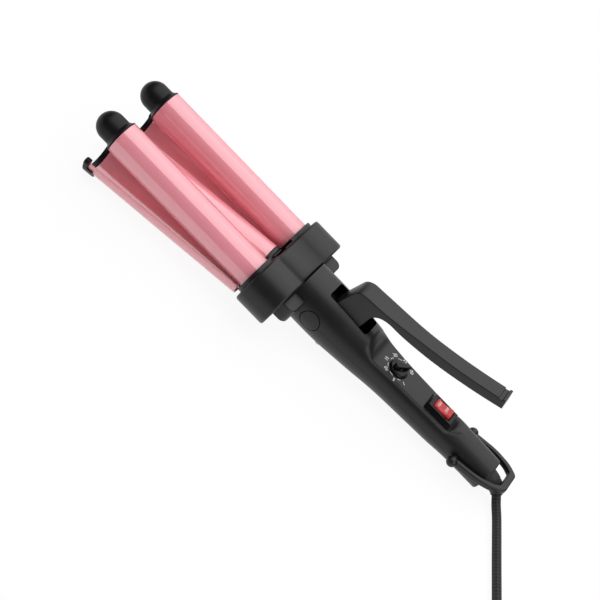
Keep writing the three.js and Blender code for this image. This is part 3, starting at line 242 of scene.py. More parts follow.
fuzz = add_node(tree, "ShaderNodeTexNoise", None,
                {"Vector": add_node(tree, "ShaderNodeTexCoord").outputs["Object"],
                 "Scale": 1800.0, "Detail": 2.0})
# Painted shade: the weave darkens the hollows between the yarns and leaves their tops lighter
yarn_tops_and_hollow_shade = add_node(tree, "ShaderNodeMix", {"data_type": "RGBA"},
                       {0: weave.outputs[0], 6: srgb("0e0e0f"), 7: srgb("3a3a3c")})
worn = add_node(tree, "ShaderNodeMix", {"data_type": "RGBA", "blend_type": "OVERLAY"},
                {0: 0.35, 6: yarn_tops_and_hollow_shade.outputs[2], 7: fuzz.outputs["Color"]})
yarn_height = add_node(tree, "ShaderNodeMath", {"operation": "MULTIPLY_ADD"},
                       {0: fuzz.outputs["Fac"], 1: 0.25, 2: weave.outputs[0]})
bump = add_node(tree, "ShaderNodeBump", None,
                {"Strength": 0.8, "Distance": 0.0005, "Height": yarn_height.outputs[0]})
tree.links.new(worn.outputs[2], shader.inputs["Base Color"])
tree.links.new(bump.outputs[0], shader.inputs["Normal"])

CORD_SIDES = 20
YARNS_ROUND = 8
vertices, faces = tube(cord_line, [CORD_R] * len(cord_line), CORD_SIDES)
cord = new_object("braided_cord", vertices, faces, braid, 60)
lay = cord.data.uv_layers.new(name="lay")
spans = [(b - a).length for a, b in zip(cord_line, cord_line[1:])]
lengths = np.concatenate([[0], np.cumsum(spans)])
for polygon in cord.data.polygons:
    columns = [cord.data.loops[i].vertex_index % CORD_SIDES for i in polygon.loop_indices]
    wraps = max(columns) - min(columns) > CORD_SIDES / 2
    for i, column in zip(polygon.loop_indices, columns):
        row = cord.data.loops[i].vertex_index // CORD_SIDES
        column += CORD_SIDES if wraps and column == 0 else 0
        lay.data[i].uv = (YARNS_ROUND / 2 * column / CORD_SIDES, lengths[row] / (2 * YARN_PITCH))
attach(cord, "body")
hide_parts("cord", "cord_coil")

# Strain relief. A tapered sleeve of soft black PVC, moulded round the cord, with a flange that
# seats inside the handle's end and bending grooves towards its tip.
NECK_R = 0.0061
SLEEVE_R = 0.007
TIP_R = 0.0043
FLANGE_R = 0.008
FLANGE_STEPS_MM = (4.9, 2.7, 2.6)
BEND_SPAN_STEPS = 8
GROOVE_DEPTH = 0.0005
GROOVE_EVERY = 6
PLAIN_STEPS = 12
exit_heading = to_world.to_3x3() @ Vector((1, 0, 0))
exit_heading.normalize()

# Moulded PVC: a dull soft black, from a mould whose fine grain is drawn at 0.7 mm
pvc, tree, shader = new_material("moulded_pvc", Roughness=0.62, IOR=1.53)
grain = add_node(tree, "ShaderNodeTexNoise", None,
                 {"Vector": add_node(tree, "ShaderNodeTexCoord").outputs["Object"],
                  "Scale": 1400.0, "Detail": 3.0})
tone = add_node(tree, "ShaderNodeMix", {"data_type": "RGBA"},
                {0: grain.outputs["Fac"], 6: srgb("1b1b1c"), 7: srgb("262627")})
bump = add_node(tree, "ShaderNodeBump", None,
                {"Strength": 0.35, "Distance": 0.0002, "Height": grain.outputs["Fac"]})
tree.links.new(tone.outputs[2], shader.inputs["Base Color"])
tree.links.new(bump.outputs[0], shader.inputs["Normal"])

bend = centripetal([EXIT + FIT * exit_heading] + relief_line, BEND_SPAN_STEPS)
sleeve = [EXIT - d / 1000 * exit_heading for d in FLANGE_STEPS_MM]
sleeve_radii = [FLANGE_R, FLANGE_R, NECK_R]
for i, point in enumerate(bend):
    share = i / (len(bend) - 1)
    groove = GROOVE_DEPTH if i > PLAIN_STEPS and i % GROOVE_EVERY in (0, 1) else 0
    sleeve.append(point)
    sleeve_radii.append(SLEEVE_R + (TIP_R - SLEEVE_R) * share - groove)
tip_heading = (route[0] - relief_tip).normalized()
vertices, faces = tube(sleeve, sleeve_radii, 48, exit_heading, tip_heading)
relief = new_object("cord_relief", vertices, faces, pvc, 40)
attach(relief, "body")
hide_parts("strain_relief")

# Barrels. Two drawn aluminium tubes, 25.4 mm across, coated in a pink pearl enamel that is baked
# on. Each is held by the carrier inside the collar, and its front rim takes the cap's spigot.
BARREL_R = 12.7
BARREL_WALL = 1
BARREL_Y = 27.1
BARREL_END = 144.5
RIM_CHAMFER = 0.2
TUBE_SIDES = 128


def turned(profile, y, z, sides, closed=False):
    """A surface turned round an axis along the waver's x, from pairs of x and radius"""
    vertices, rows, faces = [], [], []
    for x, radius in profile:
        if radius == 0:
            rows.append([len(vertices)] * sides)
            vertices.append(Vector((x, y, z)))
            continue
        rows.append(list(range(len(vertices), len(vertices) + sides)))
        for j in range(sides):
            angle = 2 * math.pi * j / sides
            vertices.append(Vector((x, y + radius * math.cos(angle),
                                    z + radius * math.sin(angle))))
    pairs = list(zip(rows, rows[1:])) + ([(rows[-1], rows[0])] if closed else [])
    for near, far in pairs:
        for j in range(sides):
            k = (j + 1) % sides
            corners = list(dict.fromkeys([near[j], near[k], far[k], far[j]]))
            if len(corners) > 2:
                faces.append(tuple(corners))
    return vertices, faces


def placed(matrix, vertices):
    """The points moved from their own frame"""
    return [matrix @ vertex for vertex in vertices]


def outward(piece):
    """Turns the faces of a closed piece so that they all look out"""
    shape = bmesh.new()
    shape.from_mesh(piece.data)
    bmesh.ops.recalc_face_normals(shape, faces=shape.faces)
    shape.to_mesh(piece.data)
    shape.free()
    return piece


def shaped(name, matrix, made, material=None, sharp_degrees=35):
    """A closed piece from vertices and faces in millimetres, put in place"""
    vertices, faces = made
    piece = outward(new_object(name, placed(matrix, vertices), faces, material, sharp_degrees))
    finish_mesh(piece.data, sharp_degrees)
    return piece


# Baked pearl enamel: rose paint with fine flakes under a hard clear coat, which mirrors the lamps in
# sharp long bands. The flakes are 0.3 mm wide, and clouds 8 mm wide vary the paint's shine a little.
enamel, tree, shader = new_material("baked_pearl_enamel", Roughness=0.42, IOR=1.5, Coat_Weight=1.0,
                                    Coat_Roughness=0.05, Coat_IOR=1.88)
place = add_node(tree, "ShaderNodeTexCoord")
flakes = add_node(tree, "ShaderNodeTexVoronoi", None,
                  {"Vector": place.outputs["Object"], "Scale": 3300.0})
flake_tone = add_node(tree, "ShaderNodeMix", {"data_type": "RGBA"},
                      {0: flakes.outputs["Color"], 6: srgb("ee8d98"), 7: srgb("f398a5")})
cloud = add_node(tree, "ShaderNodeTexNoise", None,
                 {"Vector": place.outputs["Object"], "Scale": 120.0, "Detail": 1.0})
rub = add_node(tree, "ShaderNodeMapRange", None,
               {"Value": cloud.outputs["Fac"], "To Min": 0.4, "To Max": 0.44})
tree.links.new(flake_tone.outputs[2], shader.inputs["Base Color"])
tree.links.new(rub.outputs[0], shader.inputs["Roughness"])

inner_r = BARREL_R - BARREL_WALL
tube_profile = [(0, inner_r), (0, BARREL_R - RIM_CHAMFER), (RIM_CHAMFER, BARREL_R),
                (BARREL_END, BARREL_R), (BARREL_END, inner_r)]
for side, y in (("left", -BARREL_Y), ("right", BARREL_Y)):
    barrel = shaped(f"enamelled_barrel_{side}", to_world,
                    turned(tube_profile, y, 0, TUBE_SIDES, closed=True), enamel)
    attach(barrel, "body")
    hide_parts(f"barrel_{side}")

# Barrel caps. Heat-resistant black plastic, moulded hollow: a dome on a short neck that flares out
# to a thin rim over the barrel's edge, and a spigot pressed into the barrel. The hollow isn't drawn.
CAP_FLARE = 3.6
CAP_SPIGOT = 8
DOME_R = 10.4
NECK_LENGTH = 6.6
CAP_RIM = 0.7
RIM_STEP = 0.4
SPIGOT_CHAMFER = 0.4
FLARE_CURVE = 1.3
FLARE_STEPS = 12
DOME_STEPS = 24
PART_GAP = 0.3

# Moulded satin plastic: the collar's and handle's black, with the spark-eroded grain of its mould,
# which blurs the lamps into soft bands. The grain is 0.4 mm wide, and broad wear varies the shine.
satin, tree, shader = new_material("moulded_satin_plastic", Roughness=0.4, IOR=1.45)
place = add_node(tree, "ShaderNodeTexCoord")
spark = add_node(tree, "ShaderNodeTexNoise", None,
                 {"Vector": place.outputs["Object"], "Scale": 2500.0, "Detail": 1.0})
wear = add_node(tree, "ShaderNodeTexNoise", None,
                {"Vector": place.outputs["Object"], "Scale": 45.0, "Detail": 3.0})
tone = add_node(tree, "ShaderNodeMix", {"data_type": "RGBA"},
                {0: wear.outputs["Fac"], 6: srgb("0f0f10"), 7: srgb("151516")})
rub = add_node(tree, "ShaderNodeMapRange", None,
               {"Value": wear.outputs["Fac"], "To Min": 0.36, "To Max": 0.42})
bump = add_node(tree, "ShaderNodeBump", None,
                {"Strength": 0.08, "Distance": 0.0001, "Height": spark.outputs["Fac"]})
tree.links.new(tone.outputs[2], shader.inputs["Base Color"])
tree.links.new(rub.outputs[0], shader.inputs["Roughness"])
tree.links.new(bump.outputs[0], shader.inputs["Normal"])

# Glass-filled nylon: a darker and duller black than the satin one, for the caps beside the hot metal.
# The glass shows as a faint mottle at 1 mm.
nylon, tree, shader = new_material("glass_filled_nylon", Roughness=0.42, IOR=1.33)
mottle = add_node(tree, "ShaderNodeTexNoise", None,
                  {"Vector": add_node(tree, "ShaderNodeTexCoord").outputs["Object"],
                   "Scale": 1000.0, "Detail": 2.0})
tone = add_node(tree, "ShaderNodeMix", {"data_type": "RGBA"},
                {0: mottle.outputs["Fac"], 6: srgb("070708"), 7: srgb("0e0e0f")})
rub = add_node(tree, "ShaderNodeMapRange", None,
               {"Value": mottle.outputs["Fac"], "To Min": 0.38, "To Max": 0.46})
bump = add_node(tree, "ShaderNodeBump", None,
                {"Strength": 0.06, "Distance": 0.0001, "Height": mottle.outputs["Fac"]})
tree.links.new(tone.outputs[2], shader.inputs["Base Color"])
tree.links.new(rub.outputs[0], shader.inputs["Roughness"])
tree.links.new(bump.outputs[0], shader.inputs["Normal"])

spigot_r = inner_r - PART_GAP
cap_profile = [(CAP_SPIGOT, 0), (CAP_SPIGOT, spigot_r - SPIGOT_CHAMFER),
               (CAP_SPIGOT - SPIGOT_CHAMFER, spigot_r), (-PART_GAP, spigot_r),
               (-PART_GAP, BARREL_R), (-CAP_RIM - PART_GAP, BARREL_R)]
for i in range(1, FLARE_STEPS + 1):
    sweep = math.sin(i / FLARE_STEPS * math.pi / 2)
    cap_profile.append((-CAP_RIM - PART_GAP - (CAP_FLARE - CAP_RIM) * sweep,
                        DOME_R + (BARREL_R - RIM_STEP - DOME_R) * (1 - sweep) ** FLARE_CURVE))
for i in range(DOME_STEPS + 1):
    angle = i / DOME_STEPS * math.pi / 2
    radius = 0 if i == DOME_STEPS else DOME_R * math.cos(angle)
    cap_profile.append((-CAP_FLARE - NECK_LENGTH - DOME_R * math.sin(angle), radius))
for side, y in (("left", -BARREL_Y), ("right", BARREL_Y)):
    cap = shaped(f"domed_cap_{side}", to_world, turned(cap_profile, y, 0, 96), nylon, 40)
    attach(cap, "body")
    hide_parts(f"barrel_cap_{side}")

# Wave plate. One sheet of enamelled aluminium, pressed into two troughs that follow the barrels and
# a round ridge between them. Both long edges are hemmed, and a second line is pressed beside them.
PIVOT_X = 175.5
OPEN_DEGREES = 8.1
PLATE_THICKNESS = 0.6
JAW_GAP = 0.3
RIDGE_R = 12.2
RIDGE_Z = -0.8
JAW_FRONT = -4.8
JAW_REAR = 124.4
HEM_WIDTH = 2.6
HEM_RAISE = 0.35
HEM_EASE = 0.5
HEM_STEPS = 12
LINE_RAISE = 0.18
LINE_GAP = 0.5
LINE_WIDTH = 0.6
trough_middle = BARREL_R + JAW_GAP + PLATE_THICKNESS / 2
ridge_middle = RIDGE_R - PLATE_THICKNESS / 2
opened = (to_world @ Matrix.Translation((PIVOT_X, 0, 0))
          @ Matrix.Rotation(-math.radians(OPEN_DEGREES), 4, "Y")
          @ Matrix.Translation((-PIVOT_X, 0, 0)))


def jaw_line(trough_steps=132, ridge_steps=60, rim_degrees=180):
    """Points of the sheet's middle from one rim to the other, each with its upward normal"""
    lean = math.atan2(RIDGE_Z, BARREL_Y)
    tangent = lean - math.acos((trough_middle + ridge_middle) / math.hypot(BARREL_Y, RIDGE_Z))
    half = []
    first, last = math.radians(rim_degrees), 2 * math.pi + tangent
    for i in range(trough_steps + 1):
        angle = first + (last - first) * i / trough_steps
        y, z = math.cos(angle), math.sin(angle)
        half.append((-BARREL_Y + trough_middle * y, trough_middle * z, -y, -z))
    for i in range(ridge_steps + 1):
        angle = math.pi + tangent + (math.pi / 2 - math.pi - tangent) * i / ridge_steps
        y, z = math.cos(angle), math.sin(angle)
        half.append((ridge_middle * y, RIDGE_Z + ridge_middle * z, y, z))
    return half + [(-y, z, -ny, nz) for y, z, ny, nz in reversed(half[:-1])]


def extruded(outline, x0, x1, cuts=1):
    """A closed outline in y and z carried along x, with flat ends"""
    count = len(outline)
    vertices, faces = [], []
    for i in range(cuts + 1):
        x = x0 + (x1 - x0) * i / cuts
        vertices += [Vector((x, y, z)) for y, z in outline]
    for i in range(cuts):
        for j in range(count):
            a, b = i * count + j, i * count + (j + 1) % count
            faces.append((a, b, b + count, a + count))
    faces.append(tuple(reversed(range(count))))
    faces.append(tuple(range(cuts * count, (cuts + 1) * count)))
    return vertices, faces


line = jaw_line()
reach = [0]
for (y0, z0, *_), (y1, z1, *_) in zip(line, line[1:]):
    reach.append(reach[-1] + math.hypot(y1 - y0, z1 - z0))
half_plate = PLATE_THICKNESS / 2
inner_edge, outer_edge = [], []
for (y, z, ny, nz), along in zip(line, reach):
    from_rim = min(along, reach[-1] - along)
    raise_by = HEM_RAISE * (1 - smooth_step((from_rim - HEM_WIDTH) / HEM_EASE))
    from_line = abs(from_rim - 2 * HEM_WIDTH - LINE_GAP)
    raise_by += LINE_RAISE * (1 - smooth_step(from_line / LINE_WIDTH))
    inner_edge.append((y + half_plate * ny, z + half_plate * nz))
    outer_edge.append((y - (half_plate + raise_by) * ny, z - (half_plate + raise_by) * nz))
rim_inner = BARREL_Y + BARREL_R + JAW_GAP
rim_outer = rim_inner + PLATE_THICKNESS + HEM_RAISE
rim_r = (rim_outer - rim_inner) / 2
rim_arc = []
for i in range(1, HEM_STEPS):
    angle = i / HEM_STEPS * math.pi
    rim_arc.append((rim_inner + rim_r - rim_r * math.cos(angle), rim_r * math.sin(angle)))
plate_outline = (inner_edge + rim_arc + list(reversed(outer_edge))
                 + [(-y, z) for y, z in reversed(rim_arc)])
vertices, faces = extruded(plate_outline, JAW_FRONT, JAW_REAR)
plate = outward(new_object("pressed_wave_plate", placed(opened, vertices), faces, enamel))
finish_mesh(plate.data, 30)
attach(plate, "clamp")
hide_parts("wave_plate")

# Wave plate's tip cap. Black nylon strip moulded to the plate's front edge, with a lining tucked
# under the sheet and a round knob at each end. Its underside is cut away to clear the barrels' caps.
TIP_CAP_LENGTH = 4
TIP_CAP_DEPTH = 1.4
TIP_BEVEL = 0.5
KNOB_R = 3
KNOB_CHAMFER = 0.5
KNOB_ROUND = 1
KNOB_PROUD = 0.2
CLEAR_R = DOME_R + 1


def bevelled(outline, near, far, bevel, steps=3, axes="xyz", bevel_near=True):
    """A closed outline in the first two axes carried along the third, with rounded rims"""
    outline = [Vector((u, v)) for u, v in outline]
    count = len(outline)
    area = sum(a.x * b.y - b.x * a.y for a, b in zip(outline, outline[1:] + outline[:1]))
    sign = 1 if area > 0 else -1
    mitres = []
    for j, corner in enumerate(outline):
        before = (corner - outline[j - 1]).normalized()
        after = (outline[(j + 1) % count] - corner).normalized()
        n1, n2 = Vector((before.y, -before.x)) * sign, Vector((after.y, -after.x)) * sign
        mitre = n1 + n2
        mitres.append(mitre / max(mitre.length_squared / 2, 0.35))
    levels = []
    for i in range(steps + 1):
        angle = i / steps * math.pi / 2
        levels.append((bevel * (1 - math.sin(angle)), bevel * (1 - math.cos(angle))))
    rings = [(near + depth, inset) for inset, depth in levels] if bevel_near else [(near, 0)]
    rings += [(far - depth, inset) for inset, depth in reversed(levels)]
    vertices, faces = [], []
    for depth, inset in rings:
        for corner, mitre in zip(outline, mitres):
            point = corner - inset * mitre
            values = dict(zip(axes, (point.x, point.y, depth)))
            vertices.append(Vector((values["x"], values["y"], values["z"])))
    for i in range(len(rings) - 1):
        for j in range(count):
            a, b = i * count + j, i * count + (j + 1) % count
            faces.append((a, b, b + count, a + count))
    faces.append(tuple(reversed(range(count))))
    faces.append(tuple(range((len(rings) - 1) * count, len(rings) * count)))
    return vertices, faces


def combined(piece, tool, operation, sharp_degrees=35):
    """Joins, cuts or intersects one closed piece with another, which is used up"""
    change = piece.modifiers.new("combine", "BOOLEAN")
    change.solver = "EXACT"
    change.operation = operation
    change.object = tool
    bpy.context.view_layer.update()
    result = piece.evaluated_get(bpy.context.evaluated_depsgraph_get())
    mesh = bpy.data.meshes.new_from_object(result)
    piece.modifiers.clear()
    piece.data = mesh
    bpy.data.objects.remove(tool)
    finish_mesh(mesh, sharp_degrees)
    return piece


cap_back = JAW_FRONT - 0.3
cap_front = cap_back - TIP_CAP_LENGTH
line = jaw_line(40, 20)
over = [(y + half_plate * ny, z + half_plate * nz) for y, z, ny, nz in line]
deep = half_plate + TIP_CAP_DEPTH
under = [(y - deep * ny, z - deep * nz) for y, z, ny, nz in line]
strip = bevelled(over + under[::-1], cap_front, cap_back, TIP_BEVEL, 3, "yzx")
tip = shaped("jaw_tip_trim", opened, strip, nylon)
line = jaw_line(36, 18, 200)
near = half_plate + PART_GAP
lining = [(y - near * ny, z - near * nz) for y, z, ny, nz in line]
lining += [(y - deep * ny, z - deep * nz) for y, z, ny, nz in reversed(line)]
tool = shaped("lining", opened, extruded(lining, cap_back - 1, JAW_FRONT + CAP_SPIGOT / 2))
combined(tip, tool, "UNION", 40)
for y in (-rim_inner - PART_GAP, rim_inner + PART_GAP):
    knob = [(cap_back, 0), (cap_back, KNOB_R - KNOB_CHAMFER), (cap_back - KNOB_CHAMFER, KNOB_R),
            (cap_front + KNOB_ROUND, KNOB_R)]
    knob += [(cap_front + KNOB_ROUND - KNOB_ROUND * math.sin(a),
              KNOB_R - KNOB_ROUND + KNOB_ROUND * math.cos(a)) for a in (0.5, 1, math.pi / 2)]
    knob.append((cap_front - KNOB_PROUD, 0))
    combined(tip, shaped("knob", opened, turned(knob, y, 0, 32)), "UNION", 40)
for y in (-BARREL_Y, BARREL_Y):
    clear = [(cap_front - 2, 0), (cap_front - 2, CLEAR_R),
             (cap_back + 1, CLEAR_R), (cap_back + 1, 0)]
    combined(tip, shaped("clear", opened, turned(clear, y, 0, 96)), "DIFFERENCE", 40)
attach(tip, "clamp")
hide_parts("jaw_tip_cap")

# Jaw holder. Black plastic half round that closes the ridge at the collar and carries the wave plate
# on the arm inside. It is one moulding with a softened rim and a stepped rib behind it.
HOLDER_R = 12.6
HOLDER_FLOOR = -8.4
HOLDER_LENGTH = 3
HOLDER_SPIGOT = 12
POCKET_HALF_WIDTH = 5.8
POCKET_BOTTOM = -2.9
POCKET_TOP = 4.5
RIB_START = 128.1
RIB_END = 129
RIB_HALF_SPAN = 4.8
RIB_BOTTOM = 4.8
RIB_STEP_TOP = 9.2
RIB_TOP = 10.8


def half_round(radius, floor, steps):
    """The part of the ridge's circle above a floor, as points in y and z"""
    edge = math.asin((floor - RIDGE_Z) / radius)
    angles = [edge + (math.pi - 2 * edge) * i / steps for i in range(steps + 1)]
    return [(radius * math.cos(a), RIDGE_Z + radius * math.sin(a)) for a in angles]


def oblong(half, low, high):
    """A rectangle across the middle, as points in y and z"""
    return [(-half, low), (half, low), (half, high), (-half, high)]


start = JAW_REAR + PART_GAP
flange = half_round(HOLDER_R, HOLDER_FLOOR, 64)
holder = shaped("jaw_holder_end", opened,
                bevelled(flange, start, start + HOLDER_LENGTH, 0.5, 3, "yzx"), satin)
spigot = half_round(RIDGE_R - PLATE_THICKNESS - PART_GAP, HOLDER_FLOOR, 48)
combined(holder, shaped("spigot", opened, extruded(spigot, JAW_REAR - HOLDER_SPIGOT, start + 1)),
         "UNION")
pocket = extruded(oblong(POCKET_HALF_WIDTH, POCKET_BOTTOM, POCKET_TOP),
                  JAW_REAR - (HOLDER_SPIGOT + 1), PIVOT_X)
combined(holder, shaped("pocket", opened, pocket), "DIFFERENCE")
for x, top in ((start + HOLDER_LENGTH - 0.5, RIB_STEP_TOP), (RIB_START, RIB_TOP)):
    rib = bevelled(oblong(RIB_HALF_SPAN, RIB_BOTTOM, top), x, RIB_END, 0.2, 2, "yzx")
    combined(holder, shaped("rib", opened, rib), "UNION")
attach(holder, "clamp")
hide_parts("jaw_base_holder")

# Collar. Two black plastic shells that meet just below the barrels' middles, screwed together from
# the back. The outline is two lobes and a shallow valley, and both rims are rounded.
COLLAR_START = 129.6
COLLAR_END = 154.6
LOBE_R = 20.2
VALLEY_Z = 11.6
COLLAR_WALL = 2.4
FRONT_WALL = 4.9
FRONT_WALL_LENGTH = 1.4
COLLAR_ROUND = 1.8
COLLAR_ROUND_STEPS = 7
PARTING_Z = -1.5
THROAT_R = 17
SHELL_GAP = 0.15
PATH_BOTTOM = -9.9
HOLDER_PATH_HALF_WIDTH = 13.5
HOLDER_PATH_TOP = -2
ARM_PATH_HALF_WIDTH = 8.5
ARM_PATH_TOP = 7.2
COLLAR_SCREW_X = 148.6
SCREW_HEAD_R = 2.7
BEYOND = 30  # past every outside face, for what cuts through


def collar_outline(inset, steps=40):
    """The collar's outline in y and z, anticlockwise from the right lobe's side"""
    lobe, valley_z = LOBE_R - inset, VALLEY_Z - inset
    valley_r = (BARREL_Y ** 2 + valley_z ** 2 - lobe ** 2) / (2 * (lobe - valley_z))
    middle = valley_z + valley_r
    tangent = math.atan2(middle, BARREL_Y)
    quarter = []
    for i in range(steps + 1):
        angle = (math.pi - tangent) * i / steps
        quarter.append((BARREL_Y + lobe * math.cos(angle), lobe * math.sin(angle)))
    for i in range(1, steps // 2 + 1):
        angle = -tangent + (tangent - math.pi / 2) * i / (steps // 2)
        quarter.append((valley_r * math.cos(angle), middle + valley_r * math.sin(angle)))
    left = [(-y, z) for y, z in reversed(quarter[:-1])]
    top = quarter + left
    return top + [(y, -z) for y, z in reversed(top[1:-1])]


def stacked(rings, closed=False):
    """A skin over rings of as many points each: closed in a loop, or with its ends filled"""
    count = len(rings[0])
    vertices = [point for ring in rings for point in ring]
    faces = []
    pairs = len(rings) if closed else len(rings) - 1
    for i in range(pairs):
        k = (i + 1) % len(rings)
        for j in range(count):
            m = (j + 1) % count
            faces.append((i * count + j, i * count + m, k * count + m, k * count + j))
    if not closed:
        faces.append(tuple(reversed(range(count))))
        faces.append(tuple(range((len(rings) - 1) * count, len(rings) * count)))
    return vertices, faces


def collar_ring(x, inset):
    """The collar's outline, drawn in by an inset, at a place along the waver"""
    return [Vector((x, y, z)) for y, z in collar_outline(inset)]


def throat_ring(x):
    """The round hole of the collar's back, with as many points as the outline"""
    ring = []
    for y, z in collar_outline(COLLAR_WALL):
        distance = math.hypot(y, z)
        scale = min(THROAT_R, distance) / distance
        ring.append(Vector((x, y * scale, z * scale)))
    return ring


rounding = [i / COLLAR_ROUND_STEPS * math.pi / 2 for i in range(COLLAR_ROUND_STEPS + 1)]
back_wall, front_wall = COLLAR_END - COLLAR_WALL, COLLAR_START + FRONT_WALL_LENGTH
rings = [throat_ring(back_wall), collar_ring(back_wall, COLLAR_WALL + 0.01),
         collar_ring(front_wall, COLLAR_WALL), collar_ring(front_wall, FRONT_WALL),
         collar_ring(COLLAR_START, FRONT_WALL)]
rings += [collar_ring(COLLAR_START + COLLAR_ROUND * (1 - math.cos(a)),
                      COLLAR_ROUND * (1 - math.sin(a))) for a in rounding]
rings += [collar_ring(COLLAR_END - COLLAR_ROUND * (1 - math.sin(a)),
                      COLLAR_ROUND * (1 - math.cos(a))) for a in rounding]
rings.append(throat_ring(COLLAR_END))


def split(piece, name, z, gap):
    """The piece above a height, and a new piece below it, with a gap between the two"""
    lower = piece.copy()
    lower.data = piece.data.copy()
    lower.name = name
    bpy.context.scene.collection.objects.link(lower)
    span = 500
    for half, z0, z1 in ((piece, -span, z + gap / 2), (lower, z - gap / 2, span)):
        block = extruded(oblong(span, z0, z1), -span, span)
        combined(half, shaped("block", to_world, block), "DIFFERENCE")
    return lower


collar_front = shaped("collar_front_moulding", to_world, stacked(rings, closed=True), satin)
jaw_paths = ((HOLDER_PATH_HALF_WIDTH, HOLDER_PATH_TOP), (ARM_PATH_HALF_WIDTH, ARM_PATH_TOP))
for half, top in jaw_paths:
    path = extruded(oblong(half, PATH_BOTTOM, top), COLLAR_START - 1, COLLAR_START + 2)
    combined(collar_front, shaped("path", to_world, path), "DIFFERENCE")
collar_rear = split(collar_front, "collar_rear_moulding", PARTING_Z, SHELL_GAP)
sink_r = SCREW_HEAD_R + PART_GAP
for y in (-BARREL_Y, BARREL_Y):
    vertices, faces = turned([(-VALLEY_Z, 0), (-VALLEY_Z, sink_r), (-BEYOND, sink_r),
                              (-BEYOND, 0)], 0, 0, 40)
    vertices = [Vector((v.z + COLLAR_SCREW_X, v.y + y, v.x)) for v in vertices]
    combined(collar_rear, shaped("sink", to_world, (vertices, faces)), "DIFFERENCE")
for piece, node in ((collar_front, "collar_front_shell"), (collar_rear, "collar_rear_shell")):
    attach(piece, "body")
    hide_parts(node)

# Lip plate. A thin black plastic plate that closes the collar's front round the barrels, cut out for
# the moving jaw and its arm. It sits in the collar's front with a softened rim.
LIP_INSET = 5
BARREL_VISIBLE = 126.5
RIB_SIDE_GAP = 0.5
lip_back = COLLAR_START + 1
lip_near, lip_far = BARREL_VISIBLE - 1, lip_back + 1
lip = shaped("lip_plate", to_world,
             bevelled(collar_outline(LIP_INSET), BARREL_VISIBLE, lip_back, 0.4, 3, "yzx"), satin)
for y in (-BARREL_Y, BARREL_Y):
    hole = [(lip_near, 0), (lip_near, BARREL_R + PART_GAP), (lip_far, BARREL_R + PART_GAP),
            (lip_far, 0)]
    combined(lip, shaped("hole", to_world, turned(hole, y, 0, 128)), "DIFFERENCE")
lip_cuts = [(RIB_END - PART_GAP, HOLDER_PATH_HALF_WIDTH, BEYOND),
            (RIB_END + PART_GAP, RIB_HALF_SPAN + RIB_SIDE_GAP, BEYOND)]
lip_cuts += [(lip_far, half, top) for half, top in jaw_paths]
for end, half, top in lip_cuts:
    path = extruded(oblong(half, -BEYOND, top), lip_near, end)
    combined(lip, shaped("path", to_world, path), "DIFFERENCE")
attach(lip, "body")
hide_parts("collar_lip_plate")

# Handle. Two black plastic shells that meet at half height, screwed from the back: round and
# tapering, with side wings behind the collar, a slot for the lever, a steep shoulder and a flat
# facet for the controls. Each station is x, radius and the height of the section's middle.
HANDLE_START = 154.66
HANDLE_END = 335.6
END_ROUNDING = 1.2
END_STEP = 0.2
HANDLE_WALL = 2.4
STATIONS = [(154.9, 20.8, 0), (180, 20.8, 0), (193, 20.3, 0), (202, 19.5, 0), (218, 18.1, 0),
            (233, 16.5, 0), (247, 15.5, 0), (270, 14.8, 0.3), (290, 14.2, 0.6), (304, 13.4, 0.9),
            (320, 13.1, 0.8), (334.4, 12.9, 0.5), (336, 12.9, 0.5)]
SLOT_START = 172.5
SLOT_END = 208.8
SLOT_HALF_WIDTH = 9
SLOT_CORNER_R = 2.2
SLOT_BOTTOM = 8
SLOT_TOP = 40
SHOULDER_END = 229
SHOULDER_LENGTH = 15
SHOULDER_RISE = 11.2
SHOULDER_CURVE = 2.6
FACET_END = 293
FACET_Z = 9.5
FACET_ROUNDING = 2.4
SHOULDER_ROUNDING = 4.6
SHOULDER_EASE = 8
RUN_OUT = 11
LOOP_X = 310.3
LOOP_Z = 1.9
DIAL_X = 241.4
SWITCH_X = 282.1
HANDLE_SIDES = 160


def handle_at(x):
    """Radius and middle height of the handle's section, smooth through the stations"""
    i = 1
    while i < len(STATIONS) - 2 and STATIONS[i][0] < x:
        i += 1
    values = []
    x0, x1 = STATIONS[i - 1][0], STATIONS[i][0]
    t = min(max((x - x0) / (x1 - x0), 0), 1)
    for k in (1, 2):
        slopes = []
        for j in (i - 1, i):
            a, b = max(j - 1, 0), min(j + 1, len(STATIONS) - 1)
            rise, run = STATIONS[b][k] - STATIONS[a][k], STATIONS[b][0] - STATIONS[a][0]
            slopes.append(rise / run * (x1 - x0))
        p0, p1 = STATIONS[i - 1][k], STATIONS[i][k]
        values.append((2 * t ** 3 - 3 * t ** 2 + 1) * p0 + (t ** 3 - 2 * t ** 2 + t) * slopes[0]
                      + (3 * t ** 2 - 2 * t ** 3) * p1 + (t ** 3 - t ** 2) * slopes[1])
    radius, middle = values
    into_end = x - (HANDLE_END - END_ROUNDING)
    if into_end > 0:
        radius -= END_ROUNDING - math.sqrt(max(END_ROUNDING ** 2 - into_end ** 2, 0))
    return radius, middle


def top_at(x):
    """Height of the cut-away top: a shoulder that eases into the facet, and a shallow run-out"""
    scoop = SHOULDER_RISE * (max(SHOULDER_END - x, 0) / SHOULDER_LENGTH) ** SHOULDER_CURVE
    up = smooth_step((x - FACET_END) / RUN_OUT)
    return FACET_Z + scoop + (STATIONS[0][1] - FACET_Z) * up


def soft_min(a, b, rounding):
    """The smaller of two heights, eased where they meet"""
    overlap = max(rounding - abs(a - b), 0) / rounding
    return min(a, b) - overlap * overlap * rounding / 4


